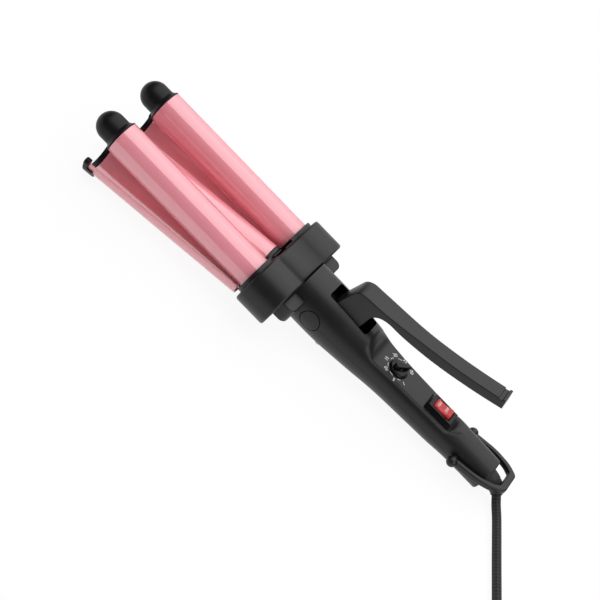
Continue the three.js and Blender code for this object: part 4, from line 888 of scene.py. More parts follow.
def handle_rings(inset, start, end, step, sides):
    """Rings of the handle's skin, closer together at the shoulder and at the end"""
    stops = [start]
    while stops[-1] < end - 0.01:
        x = stops[-1]
        fine = SLOT_END - 1 < x < SHOULDER_END + 2 or FACET_END - 1 < x < FACET_END + RUN_OUT
        size = step / 2 if fine else step
        size = END_STEP if x > HANDLE_END - END_ROUNDING - 0.01 else size
        stops.append(min(x + size, end))
        if x < HANDLE_END - END_ROUNDING < stops[-1]:
            stops[-1] = HANDLE_END - END_ROUNDING
    rings = []
    for x in stops:
        radius, middle = handle_at(x)
        top = top_at(x)
        rounding = (FACET_ROUNDING
                    + SHOULDER_ROUNDING * smooth_step((top - FACET_Z) / SHOULDER_EASE))
        ring = []
        for j in range(sides):
            angle = 2 * math.pi * (j + 0.5) / sides
            z = middle + (radius - inset) * math.sin(angle)
            ring.append(Vector((x, (radius - inset) * math.cos(angle),
                                soft_min(z, top - inset, rounding))))
        rings.append(ring)
    return rings


def rounded_box(x0, x1, y0, y1, corner, steps=6):
    """A rectangle in x and y with round corners"""
    points = []
    for cx, cy, first in ((x1 - corner, y1 - corner, 0), (x0 + corner, y1 - corner, 1),
                          (x0 + corner, y0 + corner, 2), (x1 - corner, y0 + corner, 3)):
        for i in range(steps + 1):
            angle = (first + i / steps) * math.pi / 2
            points.append((cx + corner * math.cos(angle), cy + corner * math.sin(angle)))
    return points


def pin(axis, radius, near, far, a, b, sides=48):
    """A plain round pin along x, y or z, its middle at the other two coordinates"""
    vertices, faces = turned([(near, 0), (near, radius), (far, radius), (far, 0)], 0, 0, sides)
    order = {"x": lambda v: (v.x, v.y + a, v.z + b), "y": lambda v: (v.y + a, v.x, v.z + b),
             "z": lambda v: (v.y + a, v.z + b, v.x)}[axis]
    return [Vector(order(v)) for v in vertices], faces


WING_HALF_SPAN = 35.5
WING_LENGTH = 9.7
WING_TOP = 7.8
WING_BOTTOM = -6
WING_CORNER_R = 5
WING_CORNER_STEPS = 8
WING_BEVEL = 0.9
PIVOT_CAP_R = 7.3
PIVOT_CAP_GROOVE = 0.6
CAP_SEAT_Y = 17.8
MOUTH_R = 16
SHAFT_HOLE_R = 3.5
PEG_HOLE_R = 2.3
CORD_HOLE_R = 6.4
SWITCH_HOLE_HALF_LENGTH = 9.6
SWITCH_HOLE_HALF_WIDTH = 6.4
HANDLE_SCREWS = [(190, -12, -13.75), (190, 12, -13.75), (303, 0, -9.8)]

handle = shaped("handle_front_moulding", to_world,
                stacked(handle_rings(0, HANDLE_START, HANDLE_END, 1.6, HANDLE_SIDES)), satin, 30)
right_wing = [(HANDLE_START, WING_HALF_SPAN)]
for i in range(WING_CORNER_STEPS + 1):
    angle = i / WING_CORNER_STEPS * math.pi / 2
    right_wing.append((HANDLE_START + WING_LENGTH - WING_CORNER_R * (1 - math.sin(angle)),
                       WING_HALF_SPAN - WING_CORNER_R * (1 - math.cos(angle))))
wing_outline = [(x, -y) for x, y in right_wing] + right_wing[::-1]
wings = shaped("wings", to_world, bevelled(wing_outline, WING_BOTTOM, WING_TOP, WING_BEVEL, 4))
combined(handle, wings, "UNION", 30)
cavity = stacked(handle_rings(HANDLE_WALL, HANDLE_START + HANDLE_WALL, HANDLE_END - HANDLE_WALL,
                              4, 48))
slot = rounded_box(SLOT_START, SLOT_END, -SLOT_HALF_WIDTH, SLOT_HALF_WIDTH, SLOT_CORNER_R)
switch_hole = rounded_box(SWITCH_X - SWITCH_HOLE_HALF_LENGTH, SWITCH_X + SWITCH_HOLE_HALF_LENGTH,
                          -SWITCH_HOLE_HALF_WIDTH, SWITCH_HOLE_HALF_WIDTH, 0.5, 2)
groove_r = PIVOT_CAP_R + PIVOT_CAP_GROOVE
cutters = [cavity, bevelled(slot, SLOT_BOTTOM, SLOT_TOP, 0.1, 1),
           pin("x", MOUTH_R, HANDLE_START - 1, HANDLE_START + HANDLE_WALL + 1, 0, 0, 100),
           pin("y", groove_r, CAP_SEAT_Y, BEYOND, PIVOT_X, 0, 90),
           pin("y", groove_r, -BEYOND, -CAP_SEAT_Y, PIVOT_X, 0, 90),
           pin("z", SHAFT_HOLE_R, 0, BEYOND, DIAL_X, 0),
           bevelled(switch_hole, 0, BEYOND, 0.1, 1),
           pin("y", PEG_HOLE_R, -BEYOND, BEYOND, LOOP_X, LOOP_Z),
           pin("x", CORD_HOLE_R, HANDLE_END - 4, HANDLE_END + 1, 0, EXIT_MM[2])]
cutters += [pin("z", sink_r, -BEYOND, seat, x, y) for x, y, seat in HANDLE_SCREWS]
for made in cutters:
    combined(handle, shaped("cutter", to_world, made), "DIFFERENCE", 30)
handle_rear = split(handle, "handle_rear_moulding", 0, SHELL_GAP)
for piece, node in ((handle, "handle_front_shell"), (handle_rear, "handle_rear_shell")):
    finish_mesh(piece.data, 30)
    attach(piece, "body")
    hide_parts(node)

# Pivot caps. Two black plastic discs, pressed in flush over the ends of the lever's pin, so that
# each follows the handle's round side inside a narrow groove.
for side, sign in (("left", -1), ("right", 1)):
    disc = pin("y", PIVOT_CAP_R, sign * (CAP_SEAT_Y + PART_GAP), sign * BEYOND, PIVOT_X, 0, 96)
    cap = shaped(f"pivot_cover_{side}", to_world, disc, satin)
    skin = stacked(handle_rings(0, PIVOT_X - 10, PIVOT_X + 10, 1, HANDLE_SIDES))
    combined(cap, shaped("skin", to_world, skin), "INTERSECT", 30)
    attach(cap, "body")
    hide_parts(f"pivot_cap_{side}")

# Lever. One black plastic moulding, bolted to the arm's tongue: a block that drops into the slot, and
# a bowed arm for the thumb, tapering to a stepped end with a raised lip. Its long edges are rounded.
LEVER_HALF_WIDTH = 8.5
LEVER_TIP_HALF_WIDTH = 6.75
LEVER_EDGE = 0.9
LEVER_LIP = 1.6
TAPER_START = 30
TAPER_LENGTH = 44


def quadratic(a, b, c, steps=14):
    """Points of a curve that leaves a towards b and arrives at c, without a itself"""
    points = []
    for i in range(1, steps + 1):
        t = i / steps
        points.append(((1 - t) ** 2 * a[0] + 2 * t * (1 - t) * b[0] + t * t * c[0],
                       (1 - t) ** 2 * a[1] + 2 * t * (1 - t) * b[1] + t * t * c[1]))
    return points


side_view = [(4.5, 13), (11.6, 33)]
for b, c in (((13.4, 37.6), (20, 38)), ((60, 35), (99, 38.8)), ((114, 40.4), (128.8, 42.8))):
    side_view += quadratic(side_view[-1], b, c)
side_view += [(129.2, 41.8), (131.8, 42.3), (132.2, 42.3 + LEVER_LIP), (134, 42.6 + LEVER_LIP),
              (135.2, 36.5)]
for b, c in (((105, 30.6), (79, 29.2)), ((60, 28.4), (46, 31.2)), ((34, 33), (30.6, 25))):
    side_view += quadratic(side_view[-1], b, c)
side_view.append((28.6, 13))
side_view = [(PIVOT_X + x, z) for x, z in side_view]
vertices, faces = bevelled(side_view, -LEVER_HALF_WIDTH, LEVER_HALF_WIDTH, LEVER_EDGE, 4, "xzy")
for vertex in vertices:
    share = (vertex.x - PIVOT_X - TAPER_START) / TAPER_LENGTH
    vertex.y *= 1 + (LEVER_TIP_HALF_WIDTH / LEVER_HALF_WIDTH - 1) * smooth_step(share)
lever = shaped("thumb_lever", opened, (vertices, faces), satin, 28)
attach(lever, "clamp")
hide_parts("clamp_lever")

# Dial knob. Glossy black plastic: a round skirt with a bevelled rim, and a raised grip that runs out
# to a point over the number it is set to.
DIAL_R = 7.6
DIAL_SKIRT = 1.5
DIAL_GRIP = 3.6
DIAL_GRIP_R = 2.2
GRIP_BACK = 3.5
GRIP_POINT_R = DIAL_R - 0.2
GRIP_WAIST = 1.8
DIAL_POINTER_DEGREES = 43
knob_z = FACET_Z + PART_GAP

# Moulded gloss plastic: a deep black from a polished mould, its shine a little uneven every 3 mm
gloss, tree, shader = new_material("moulded_gloss_plastic", Roughness=0.25, IOR=1.33)
place = add_node(tree, "ShaderNodeTexCoord")
ripple = add_node(tree, "ShaderNodeTexNoise", None,
                  {"Vector": place.outputs["Object"], "Scale": 350.0, "Detail": 3.0})
tone = add_node(tree, "ShaderNodeMix", {"data_type": "RGBA"},
                {0: ripple.outputs["Fac"], 6: srgb("050506"), 7: srgb("0a0a0b")})
rub = add_node(tree, "ShaderNodeMapRange", None,
               {"Value": ripple.outputs["Fac"], "To Min": 0.18, "To Max": 0.3})
bump = add_node(tree, "ShaderNodeBump", None,
                {"Strength": 0.02, "Distance": 0.0001, "Height": ripple.outputs["Fac"]})
tree.links.new(tone.outputs[2], shader.inputs["Base Color"])
tree.links.new(rub.outputs[0], shader.inputs["Roughness"])
tree.links.new(bump.outputs[0], shader.inputs["Normal"])

skirt_top = knob_z + DIAL_SKIRT
skirt = [(knob_z, 0), (knob_z, DIAL_R), (skirt_top - 0.9, DIAL_R - 0.3),
         (skirt_top - 0.3, DIAL_R - 0.6), (skirt_top, DIAL_R - 1.1), (skirt_top, 0)]
vertices, faces = turned(skirt, 0, 0, 96)
vertices = [Vector((v.y + DIAL_X, v.z, v.x)) for v in vertices]
knob = shaped("dial_grip_knob", to_world, (vertices, faces), gloss, 40)
grip = [(DIAL_GRIP_R * math.cos(a) - GRIP_BACK, DIAL_GRIP_R * math.sin(a))
        for a in [math.pi / 2 + i / 24 * math.pi for i in range(25)]]
grip += quadratic(grip[-1], (GRIP_WAIST, -DIAL_GRIP_R), (GRIP_POINT_R, -0.4), 10)
grip += [(GRIP_POINT_R, 0.4)]
grip += quadratic(grip[-1], (GRIP_WAIST, DIAL_GRIP_R), grip[0], 10)[:-1]
grip_made = bevelled(grip, skirt_top - 0.4, skirt_top + DIAL_GRIP, 0.5, 4, bevel_near=False)
set_to = (Matrix.Translation((DIAL_X, 0, 0))
          @ Matrix.Rotation(math.radians(DIAL_POINTER_DEGREES), 4, "Z"))
combined(knob, shaped("grip", to_world @ set_to, grip_made), "UNION", 40)
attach(knob, "dial")
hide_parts("dial_knob")

# Dial scale. White ink printed on the facet round the knob: a broken ring, with the numbers 1, 5 and
# on to 30 by fives. The ink is a closed layer that stands 0.04 mm above the facet.
INK_LIFT = 0.06
INK_SINK = 0.02
NUMBERS = [("30", 43), ("25", 91), ("20", 137), ("15", -174), ("10", -127), ("5", -80), ("1", -36)]
NUMBER_R = 10.9
NUMBER_SIZE = 3.8
ARC_R = 8.6
ARC_WIDTH = 0.45
ARC_MARGIN = 13
ARC_STEPS = 10

# Printed ink: a flat off-white, a little thinner in specks about 1 mm wide
ink, tree, shader = new_material("printed_white_ink", Roughness=0.6)
speck = add_node(tree, "ShaderNodeTexNoise", None,
                 {"Vector": add_node(tree, "ShaderNodeTexCoord").outputs["Object"],
                  "Scale": 900.0, "Detail": 2.0})
ink_tone = add_node(tree, "ShaderNodeMix", {"data_type": "RGBA"},
                    {0: speck.outputs["Fac"], 6: srgb("d6d6d2"), 7: srgb("f2f2ee")})
tree.links.new(ink_tone.outputs[2], shader.inputs["Base Color"])


def printed_text(text, size):
    """A short text as flat faces, centred on the origin"""
    curve = bpy.data.curves.new("text", "FONT")
    curve.body = text
    curve.size = size
    curve.align_x, curve.align_y = "CENTER", "CENTER"
    curve.resolution_u = 3
    curve.offset = 0.02 * size
    letters = bpy.data.objects.new("text", curve)
    bpy.context.scene.collection.objects.link(letters)
    bpy.context.view_layer.update()
    result = letters.evaluated_get(bpy.context.evaluated_depsgraph_get())
    mesh = bpy.data.meshes.new_from_object(result)
    bpy.data.objects.remove(letters)
    vertices = [v.co.copy() for v in mesh.vertices]
    faces = [tuple(p.vertices) for p in mesh.polygons]
    bpy.data.meshes.remove(mesh)
    return vertices, faces


def raised(vertices, faces, thickness):
    """Flat faces made into a closed layer with its underside on the surface"""
    count = len(vertices)
    edges = {}
    for face in faces:
        for a, b in zip(face, face[1:] + face[:1]):
            edges[(a, b)] = True
    top = [Vector((v.x, v.y, thickness)) for v in vertices]
    under = [Vector((v.x, v.y, 0)) for v in vertices]
    made = list(faces) + [tuple(i + count for i in reversed(face)) for face in faces]
    made += [(a, a + count, b + count, b) for a, b in edges if (b, a) not in edges]
    return top + under, made


scale_vertices, scale_faces = [], []


def add_print(made, matrix):
    """Adds a layer of ink to the print in hand, moved to its place"""
    start = len(scale_vertices)
    scale_vertices.extend(placed(matrix, made[0]))
    scale_faces.extend(tuple(i + start for i in face) for face in made[1])


facet = Matrix.Translation((DIAL_X, 0, FACET_Z - INK_SINK))
for text, degrees in NUMBERS:
    facing = Matrix.Rotation(math.radians(degrees), 4, "Z") @ Matrix.Translation((NUMBER_R, 0, 0))
    number = raised(*printed_text(text, NUMBER_SIZE), INK_LIFT)
    add_print(number, facet @ facing @ Matrix.Rotation(-math.pi / 2, 4, "Z"))
for (_, start), (_, end) in zip(NUMBERS, NUMBERS[1:]):
    span = (end - start) % 360
    first, last = start + ARC_MARGIN, start + span - ARC_MARGIN
    arc = [math.radians(first + (last - first) * i / ARC_STEPS) for i in range(ARC_STEPS + 1)]
    flat = [Vector((r * math.cos(a), r * math.sin(a), 0))
            for a in arc for r in (ARC_R, ARC_R + ARC_WIDTH)]
    quads = [(2 * i, 2 * i + 1, 2 * i + 3, 2 * i + 2) for i in range(ARC_STEPS)]
    add_print(raised(flat, quads, INK_LIFT), facet)
scale = new_object("dial_scale_print", placed(to_world, scale_vertices), scale_faces, ink)
outward(scale)
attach(scale, "body")

# Switch. A snap-in rocker switch: a glossy black frame whose sides slope in, and a red rocker on two
# pins, hollowed along its top, with ON and OFF printed across its two ends.
BEZEL_LENGTH = 23.4
BEZEL_WIDTH = 15.8
BEZEL_HEIGHT = 3.6
BEZEL_SLOPE = 1.4
ROCKER_LENGTH = 14.2
ROCKER_WIDTH = 8.8
ROCKER_END_R = 1.8
ROCKER_RISE = 4.3
ROCKER_DIP = 0.9
ROCKER_LOWER_R = 4
ROCKER_PIN_R = 0.9
ROCKER_TILT_DEGREES = 8
WORDS = (("ON", -3.9, 0.2), ("OFF", 2.4, 0.5))
WORD_SIZE = 2.9
SWITCH_BODY_HALF = (9.3, 6.1)
SWITCH_BODY_DEPTH = 13
SWITCH_POCKET_HALF = (7.6, 5)
SWITCH_POCKET_DEPTH = 5
bezel_top = knob_z + BEZEL_HEIGHT
rocker_z = bezel_top - 2.6


def switch_box(half_length, half_width, corner, steps):
    """A rectangle with round corners about the switch's middle"""
    return rounded_box(SWITCH_X - half_length, SWITCH_X + half_length, -half_width, half_width,
                       corner, steps)


frame_made = bevelled(switch_box(BEZEL_LENGTH / 2, BEZEL_WIDTH / 2, 0.6, 3),
                      knob_z, bezel_top, 0.3, 3, bevel_near=False)
for vertex in frame_made[0]:
    share = (vertex.z - knob_z) / BEZEL_HEIGHT
    vertex.x = SWITCH_X + (vertex.x - SWITCH_X) * (1 - share * 2 * BEZEL_SLOPE / BEZEL_LENGTH)
    vertex.y *= 1 - share * 2 * BEZEL_SLOPE / BEZEL_WIDTH
housing = shaped("switch_frame", to_world, frame_made, gloss)
body_made = bevelled(switch_box(*SWITCH_BODY_HALF, 0.5, 2),
                     knob_z - SWITCH_BODY_DEPTH, bezel_top - 1, 0.3, 1)
combined(housing, shaped("body", to_world, body_made), "UNION")
pocket_made = bevelled(switch_box(*SWITCH_POCKET_HALF, 0.4, 2),
                       rocker_z - SWITCH_POCKET_DEPTH, BEYOND, 0.1, 1)
combined(housing, shaped("pocket", to_world, pocket_made), "DIFFERENCE")
pin_holes = pin("y", ROCKER_PIN_R + PART_GAP, -6.3, 6.3, SWITCH_X, rocker_z)
combined(housing, shaped("pins", to_world, pin_holes), "DIFFERENCE")
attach(housing, "body")
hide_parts("switch_housing")

# Red polycarbonate: an even bright red with a hard gloss, faintly wavy every 3 mm
red, tree, shader = new_material("red_polycarbonate", Roughness=0.25, IOR=1.45)
place = add_node(tree, "ShaderNodeTexCoord")
ripple = add_node(tree, "ShaderNodeTexNoise", None,
                  {"Vector": place.outputs["Object"], "Scale": 300.0, "Detail": 2.0})
tone = add_node(tree, "ShaderNodeMix", {"data_type": "RGBA"},
                {0: ripple.outputs["Fac"], 6: srgb("cc1f28"), 7: srgb("d83031")})
bump = add_node(tree, "ShaderNodeBump", None,
                {"Strength": 0.02, "Distance": 0.0001, "Height": ripple.outputs["Fac"]})
tree.links.new(tone.outputs[2], shader.inputs["Base Color"])
tree.links.new(bump.outputs[0], shader.inputs["Normal"])

half = ROCKER_LENGTH / 2
rocker_top = ROCKER_RISE - 0.1
profile = [(half, -0.6), (half, ROCKER_RISE - ROCKER_END_R)]
profile += quadratic(profile[-1], (half, ROCKER_RISE), (half - ROCKER_END_R, rocker_top), 8)
profile += quadratic(profile[-1], (0, rocker_top - 2 * ROCKER_DIP),
                     (ROCKER_END_R - half, rocker_top), 16)
profile += quadratic(profile[-1], (-half, ROCKER_RISE), (-half, ROCKER_RISE - ROCKER_END_R), 8)
profile += [(-half, -0.6), (-ROCKER_LOWER_R, -0.8)]
profile += [(ROCKER_LOWER_R * math.cos(a), ROCKER_LOWER_R * math.sin(a))
            for a in [math.pi + 0.2 + i / 16 * (math.pi - 0.4) for i in range(17)]]
rocking = (to_world @ Matrix.Translation((SWITCH_X, 0, rocker_z))
           @ Matrix.Rotation(-math.radians(ROCKER_TILT_DEGREES), 4, "Y"))
rocker = shaped("rocker_button", rocking,
                bevelled(profile, -ROCKER_WIDTH / 2, ROCKER_WIDTH / 2, 0.7, 4, "xzy"), red)
combined(rocker, shaped("pins", rocking, pin("y", ROCKER_PIN_R, -6, 6, 0, 0, 24)), "UNION")
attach(rocker, "rocker")
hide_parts("switch_rocker")

scale_vertices, scale_faces = [], []
for text, x, shift in WORDS:
    vertices, faces = printed_text(text, WORD_SIZE)
    flat = [Vector((-v.y, v.x + shift, 0)) for v in vertices]
    layer, layer_faces = raised(flat, faces, INK_LIFT)
    for vertex in layer:
        along = (vertex.x + x) / (half - ROCKER_END_R)
        vertex.z += rocker_top - ROCKER_DIP * (1 - along * along) - INK_SINK
        vertex.x += x
    add_print((layer, layer_faces), Matrix.Identity(4))
words = new_object("rocker_print", placed(rocking, scale_vertices), scale_faces, ink)
outward(words)
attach(words, "rocker")

# Hang loop. A bow of black plastic, round-edged, that swings on two pegs in the handle's sides, with
# a ball moulded over each end.
LOOP_HALF_SPAN = 18
LOOP_REACH = 41
LOOP_BALL_R = 4
BALL_STEPS = 24
LOOP_THICKNESS = 5
LOOP_ARM_WIDTH = 3.6
LOOP_TILT_DEGREES = 9
LOOP_BEVEL = 1.1
PEG_R = 2
PEG_TIP = 11.2
loop_side = LOOP_HALF_SPAN + 0.4
loop_inner = loop_side - LOOP_ARM_WIDTH


def rounded_path(points, radius, steps=6):
    """An open line of points with every inner corner rounded off"""
    line = [points[0]]
    for before, corner, after in zip(points, points[1:], points[2:]):
        corner = Vector(corner)
        to_before, to_after = Vector(before) - corner, Vector(after) - corner
        cut = min(radius, to_before.length / 2.1, to_after.length / 2.1)
        a, b = corner + to_before.normalized() * cut, corner + to_after.normalized() * cut
        line.append((a.x, a.y))
        line += quadratic((a.x, a.y), (corner.x, corner.y), (b.x, b.y), steps)
    return line + [points[-1]]


outer_half = [(0, loop_side), (20, loop_side), (LOOP_REACH - 8, loop_side - 3.6),
              (LOOP_REACH - 1.5, 10.4), (LOOP_REACH, 8.4), (LOOP_REACH, 0)]
inner_half = [(0, loop_inner), (19, loop_inner), (LOOP_REACH - 10, loop_inner - 3.4),
              (LOOP_REACH - 5.6, 8), (LOOP_REACH - 5.4, 6.4), (LOOP_REACH - 5.4, 0)]
outer_path, inner_path = rounded_path(outer_half, 9)[:-1], rounded_path(inner_half, 6)[:-1]
bow_outline = (outer_path + [(u, -v) for u, v in reversed(outer_path)]
               + [(u, -v) for u, v in inner_path] + list(reversed(inner_path)))
swung = (to_world @ Matrix.Translation((LOOP_X, 0, LOOP_Z))
         @ Matrix.Rotation(-math.radians(LOOP_TILT_DEGREES), 4, "Y"))
bow = shaped("hang_bow", swung, bevelled(bow_outline, -LOOP_THICKNESS / 2, LOOP_THICKNESS / 2,
                                         LOOP_BEVEL, 4), satin)
for sign in (-1, 1):
    ball = []
    for i in range(BALL_STEPS + 1):
        angle = math.pi - i / BALL_STEPS * math.pi
        ball.append((sign * LOOP_HALF_SPAN + LOOP_BALL_R * math.cos(angle),
                     LOOP_BALL_R * math.sin(angle) if 0 < i < BALL_STEPS else 0))
    vertices, faces = turned(ball, 0, 0, 48)
    ball_made = [Vector((v.y, v.x, v.z)) for v in vertices], faces
    combined(bow, shaped("ball", swung, ball_made), "UNION", 40)
    ends = sorted((sign * PEG_TIP, sign * LOOP_HALF_SPAN))
    combined(bow, shaped("peg", swung, pin("y", PEG_R, *ends, 0, 0, 32)), "UNION", 40)
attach(bow, "loop")
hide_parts("hang_loop")

# Plug. A moulded two-blade plug on the cord's end: a flat body with pressed finger grips, a ribbed
# sleeve, and two nickelled brass blades with a hole near each tip.
PLUG_SLEEVE = 16
PLUG_LENGTH = 30
PLUG_WIDTH = 24
BLADE_LENGTH = 16
BLADE_WIDTH = 6.4
BLADE_THICKNESS = 1.5
BLADE_SPACING = 12.7
BLADE_HOLE_R = 1.6
PLUG_SLEEVE_TIP_R = 4.3
PLUG_SLEEVE_WIDENS = 2.7
PLUG_SLEEVE_GROOVE = 0.45
PLUG_SLEEVE_STEPS = 40
plug_turn = math.atan2(plug_heading.y, plug_heading.x)
laid = (Matrix.Translation(plug_start) @ Matrix.Rotation(plug_turn, 4, "Z")
        @ Matrix.Scale(0.001, 4))
sleeve_profile = [(0, 0), (0, PLUG_SLEEVE_TIP_R)]
for i in range(PLUG_SLEEVE_STEPS + 1):
    x = i / PLUG_SLEEVE_STEPS * PLUG_SLEEVE
    groove = PLUG_SLEEVE_GROOVE if i % 8 in (5, 6) and i < PLUG_SLEEVE_STEPS - 4 else 0
    sleeve_profile.append((x, PLUG_SLEEVE_TIP_R + PLUG_SLEEVE_WIDENS * i / PLUG_SLEEVE_STEPS
                           - groove))
sleeve_profile.append((PLUG_SLEEVE, 0))
plug_sleeve = shaped("plug_sleeve", laid, turned(sleeve_profile, 0, 0, 48), pvc, 40)
body_start = PLUG_SLEEVE + PART_GAP
body_end = body_start + PLUG_LENGTH
half_width = PLUG_WIDTH / 2
body_outline = rounded_path([(body_start, 0), (body_start, half_width - 4),
                             (body_start + 6, half_width), (body_end, half_width),
                             (body_end, 0)], 2.5)
body_outline = body_outline[:-1] + [(u, -v) for u, v in reversed(body_outline[1:-1])]
plug_half = cord_line[-1].z * 1000
plug = shaped("plug_moulding", laid, bevelled(body_outline, -plug_half, plug_half, 2, 5), pvc)
for i in range(4):
    x = body_start + 10 + 4 * i
    for z in (-plug_half, plug_half):
        combined(plug, shaped("grip", laid, pin("y", 0.9, -8, 8, x, z, 20)), "DIFFERENCE")

# Nickelled brass: bright and slightly warm, with fine scratches 0.3 mm apart from the socket
nickel, tree, shader = new_material("nickelled_brass", Metallic=1.0, Roughness=0.28)
place = add_node(tree, "ShaderNodeTexCoord")
stretch = add_node(tree, "ShaderNodeMapping", None,
                   {"Vector": place.outputs["Object"], "Scale": (200, 3000, 3000)})
scratch = add_node(tree, "ShaderNodeTexNoise", None,
                   {"Vector": stretch.outputs[0], "Scale": 1.0, "Detail": 3.0})
tone = add_node(tree, "ShaderNodeMix", {"data_type": "RGBA"},
                {0: scratch.outputs["Fac"], 6: srgb("b9ae93"), 7: srgb("d8cfb6")})
bump = add_node(tree, "ShaderNodeBump", None,
                {"Strength": 0.1, "Distance": 0.0001, "Height": scratch.outputs["Fac"]})
tree.links.new(tone.outputs[2], shader.inputs["Base Color"])
tree.links.new(bump.outputs[0], shader.inputs["Normal"])

blades = []
blade_start = body_end + PART_GAP
for i, sign in enumerate((-1, 1)):
    y = sign * BLADE_SPACING / 2
    flat = rounded_box(blade_start, blade_start + BLADE_LENGTH,
                       -BLADE_WIDTH / 2, BLADE_WIDTH / 2, 1.2, 4)
    blade = shaped(f"plug_blade_{i + 1}_nickel", laid,
                   bevelled(flat, y - BLADE_THICKNESS / 2, y + BLADE_THICKNESS / 2, 0.3, 2, "xzy"),
                   nickel)
    hole = pin("y", BLADE_HOLE_R, y - 2, y + 2, blade_start + BLADE_LENGTH - 4.5, 0, 32)
    combined(blade, shaped("hole", laid, hole), "DIFFERENCE")
    blades.append(blade)
    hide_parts(f"plug_blade_{i + 1}")
for piece, node in ((plug_sleeve, "plug_strain_relief"), (plug, "plug_body")):
    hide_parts(node)
for piece in (plug_sleeve, plug, *blades):
    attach(piece, "body")

# Screws. Zinc-plated steel, pan heads with a cross recess, sunk in the rear shells: two in the collar
# and three in the handle.
SCREW_HEAD_HEIGHT = 1.8
SCREW_SHANK_R = 1.3
SCREW_SHANK_LENGTH = 12
CROSS_LONG = 1.5
CROSS_SHORT = 0.35

# Zinc plate: a soft grey shine, mottled by the plating every 1 mm
zinc, tree, shader = new_material("zinc_plated_steel", Metallic=1.0, Roughness=0.35)
place = add_node(tree, "ShaderNodeTexCoord")
plating = add_node(tree, "ShaderNodeTexNoise", None,
                   {"Vector": place.outputs["Object"], "Scale": 900.0, "Detail": 4.0})
tone = add_node(tree, "ShaderNodeMix", {"data_type": "RGBA"},
                {0: plating.outputs["Fac"], 6: srgb("9fa1a3"), 7: srgb("c4c6c8")})
rub = add_node(tree, "ShaderNodeMapRange", None,
               {"Value": plating.outputs["Fac"], "To Min": 0.28, "To Max": 0.45})
tree.links.new(tone.outputs[2], shader.inputs["Base Color"])
tree.links.new(rub.outputs[0], shader.inputs["Roughness"])

screws = [("collar_screw_1", COLLAR_SCREW_X, -BARREL_Y, -VALLEY_Z),
          ("collar_screw_2", COLLAR_SCREW_X, BARREL_Y, -VALLEY_Z)]
screws += [(f"handle_screw_{i + 1}", *seated) for i, seated in enumerate(HANDLE_SCREWS)]
for node, x, y, seat in screws:
    top = seat - PART_GAP
    low = top - SCREW_HEAD_HEIGHT
    tip = seat + SCREW_SHANK_LENGTH
    head = [(tip, 0), (tip, SCREW_SHANK_R), (top, SCREW_SHANK_R), (top, SCREW_HEAD_R - 0.2),
            (top - 0.2, SCREW_HEAD_R), (low + 0.7, SCREW_HEAD_R),
            (low + 0.25, SCREW_HEAD_R - 0.5), (low, SCREW_HEAD_R - 1.2), (low, 0)]
    vertices, faces = turned(head, 0, 0, 32)
    vertices = [Vector((v.y + x, v.z + y, v.x)) for v in vertices]
    screw = shaped(f"{node}_zinc", to_world, (vertices, faces), zinc, 40)
    for du, dv in ((CROSS_LONG, CROSS_SHORT), (CROSS_SHORT, CROSS_LONG)):
        bar = [(x - du, y - dv), (x + du, y - dv), (x + du, y + dv), (x - du, y + dv)]
        cross = bevelled(bar, low - 1, low + 1, 0.05, 1)
        combined(screw, shaped("cross", to_world, cross), "DIFFERENCE", 40)
    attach(screw, "body")
    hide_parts(node)

# Inner parts. What the shells hide, or show only through the slot and under the jaw, keeps its CAD
# shape: the steel arm, pin, spring and carrier, the mica heaters, the board and the cord's clamp.

# Mica heater: a dull sheet the colour of straw, in flakes 2.5 mm wide
mica, tree, shader = new_material("mica_heater_sheet", Metallic=0.6, Roughness=0.5)
flake = add_node(tree, "ShaderNodeTexVoronoi", None,
                 {"Vector": add_node(tree, "ShaderNodeTexCoord").outputs["Object"], "Scale": 400.0})
tone = add_node(tree, "ShaderNodeMix", {"data_type": "RGBA"},
                {0: flake.outputs["Distance"], 6: srgb("a59c86"), 7: srgb("cfc8b4")})
tree.links.new(tone.outputs[2], shader.inputs["Base Color"])

# Coated circuit board: green lacquer, a little uneven over the glass cloth, every 1.4 mm
board, tree, shader = new_material("coated_circuit_board", Roughness=0.4)
glass = add_node(tree, "ShaderNodeTexNoise", None,
                 {"Vector": add_node(tree, "ShaderNodeTexCoord").outputs["Object"], "Scale": 700.0})
tone = add_node(tree, "ShaderNodeMix", {"data_type": "RGBA"},
                {0: glass.outputs["Fac"], 6: srgb("1f5a30"), 7: srgb("2f7a44")})
tree.links.new(tone.outputs[2], shader.inputs["Base Color"])

# Black oxide steel: a dark half-matt metal, unevenly etched every 2 mm. Part of its darkness is
# painted shade, for the arm seen down in the slot.
oxide_and_slot_shade, tree, shader = new_material("black_oxide_steel_and_slot_shade", Metallic=1.0, Roughness=0.5)
etch = add_node(tree, "ShaderNodeTexNoise", None,
                {"Vector": add_node(tree, "ShaderNodeTexCoord").outputs["Object"], "Scale": 500.0})
tone = add_node(tree, "ShaderNodeMix", {"data_type": "RGBA"},
                {0: etch.outputs["Fac"], 6: srgb("2a2a2c"), 7: srgb("3a3a3d")})
tree.links.new(tone.outputs[2], shader.inputs["Base Color"])
# The arm's dark steel is partly painted shade for the depth of the slot
kept = {oxide_and_slot_shade: ["clamp_arm", "barrel_carrier"],
        zinc: ["lever_bolt", "pivot_pin", "return_spring", "potentiometer",
               "cord_clamp_screw_1", "cord_clamp_screw_2"],
        mica: ["barrel_heater_left", "barrel_heater_right", "jaw_heater"],
        board: ["circuit_board"],
        pvc: ["cord_inner"],
        satin: ["cord_clamp"],
        enamel: ["jaw_back_cover"]}
for finish, nodes in kept.items():
    for node in nodes:
        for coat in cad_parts[node].material_slots:
            coat.material = finish

# Studio. A white floor, a dim room, and three soft boxes: one overhead and one low behind the waver,
# which meet in one long light that the barrels mirror, and one in front of the cord's end.
FLOOR_SIZE = 40
WHITENING = 0.92

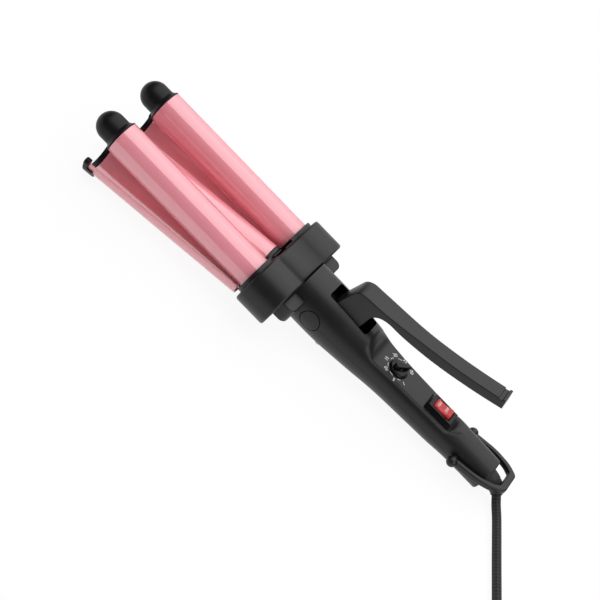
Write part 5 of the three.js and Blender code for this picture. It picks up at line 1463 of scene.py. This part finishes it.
# Studio paper: matt white with faint clouds 25 mm wide. The camera and mirrors see it almost as plain
# white, by the light path, and the rest of what they see of it keeps the waver's shadow.
floor_white, tree, shader = new_material("white_studio_paper", Roughness=0.9)
paper = add_node(tree, "ShaderNodeTexNoise", None,
                 {"Vector": add_node(tree, "ShaderNodeTexCoord").outputs["Object"], "Scale": 40.0})
tone = add_node(tree, "ShaderNodeMix", {"data_type": "RGBA"},
                {0: paper.outputs["Fac"], 6: srgb("fafafa"), 7: srgb("fefefe")})
tree.links.new(tone.outputs[2], shader.inputs["Base Color"])
rays = add_node(tree, "ShaderNodeLightPath")
mirrored = add_node(tree, "ShaderNodeMath", {"operation": "MAXIMUM"},
                    {0: rays.outputs["Is Glossy Ray"], 1: rays.outputs["Is Transmission Ray"]})
seen = add_node(tree, "ShaderNodeMath", {"operation": "MAXIMUM"},
                {0: rays.outputs["Is Camera Ray"], 1: mirrored.outputs[0]})
whitened = add_node(tree, "ShaderNodeMath", {"operation": "MULTIPLY"},
                    {0: seen.outputs[0], 1: WHITENING})
white = add_node(tree, "ShaderNodeEmission", None, {"Color": (1, 1, 1, 1), "Strength": 1.0})
blend = add_node(tree, "ShaderNodeMixShader", None,
                 {0: whitened.outputs[0], 1: shader.outputs[0], 2: white.outputs[0]})
tree.links.new(blend.outputs[0], tree.nodes["Material Output"].inputs["Surface"])
half = FLOOR_SIZE / 2
corners = [(-half, -half, 0), (half, -half, 0), (half, half, 0), (-half, half, 0)]
floor = new_object("studio_floor", corners, [(0, 1, 2, 3)], floor_white)

ROOM = 0.14
world = bpy.data.worlds.new("studio")
bpy.context.scene.world = world
world.use_nodes = True
backdrop = world.node_tree.nodes["Background"]
backdrop.inputs["Color"].default_value = (1, 1, 1, 1)
backdrop.inputs["Strength"].default_value = ROOM


def soft_box(name, place, aim, width, height, brightness):
    """A rectangular soft box that looks at a point, by the brightness of its face"""
    light = bpy.data.lights.new(name, "AREA")
    light.shape = "RECTANGLE"
    light.size, light.size_y = width, height
    light.energy = brightness * math.pi * width * height
    lamp = bpy.data.objects.new(name, light)
    bpy.context.scene.collection.objects.link(lamp)
    facing = (Vector(aim) - Vector(place)).to_track_quat("-Z", "Y").to_matrix().to_4x4()
    lamp.matrix_world = Matrix.Translation(place) @ facing


soft_box("overhead_box", place=(0, 0.45, 1.25), aim=(0, 0.45, 0),
         width=1.9, height=1.9, brightness=1.95)
soft_box("back_box", place=(0, 1.4, 0.75), aim=(0, 0, 0.75),
         width=1.9, height=1.0, brightness=1.1)
soft_box("side_box", place=(1.35, -0.75, 0.9), aim=(0, 0, 0.05),
         width=1.2, height=1.2, brightness=2.1)

bpy.context.scene.view_settings.view_transform = "Standard"
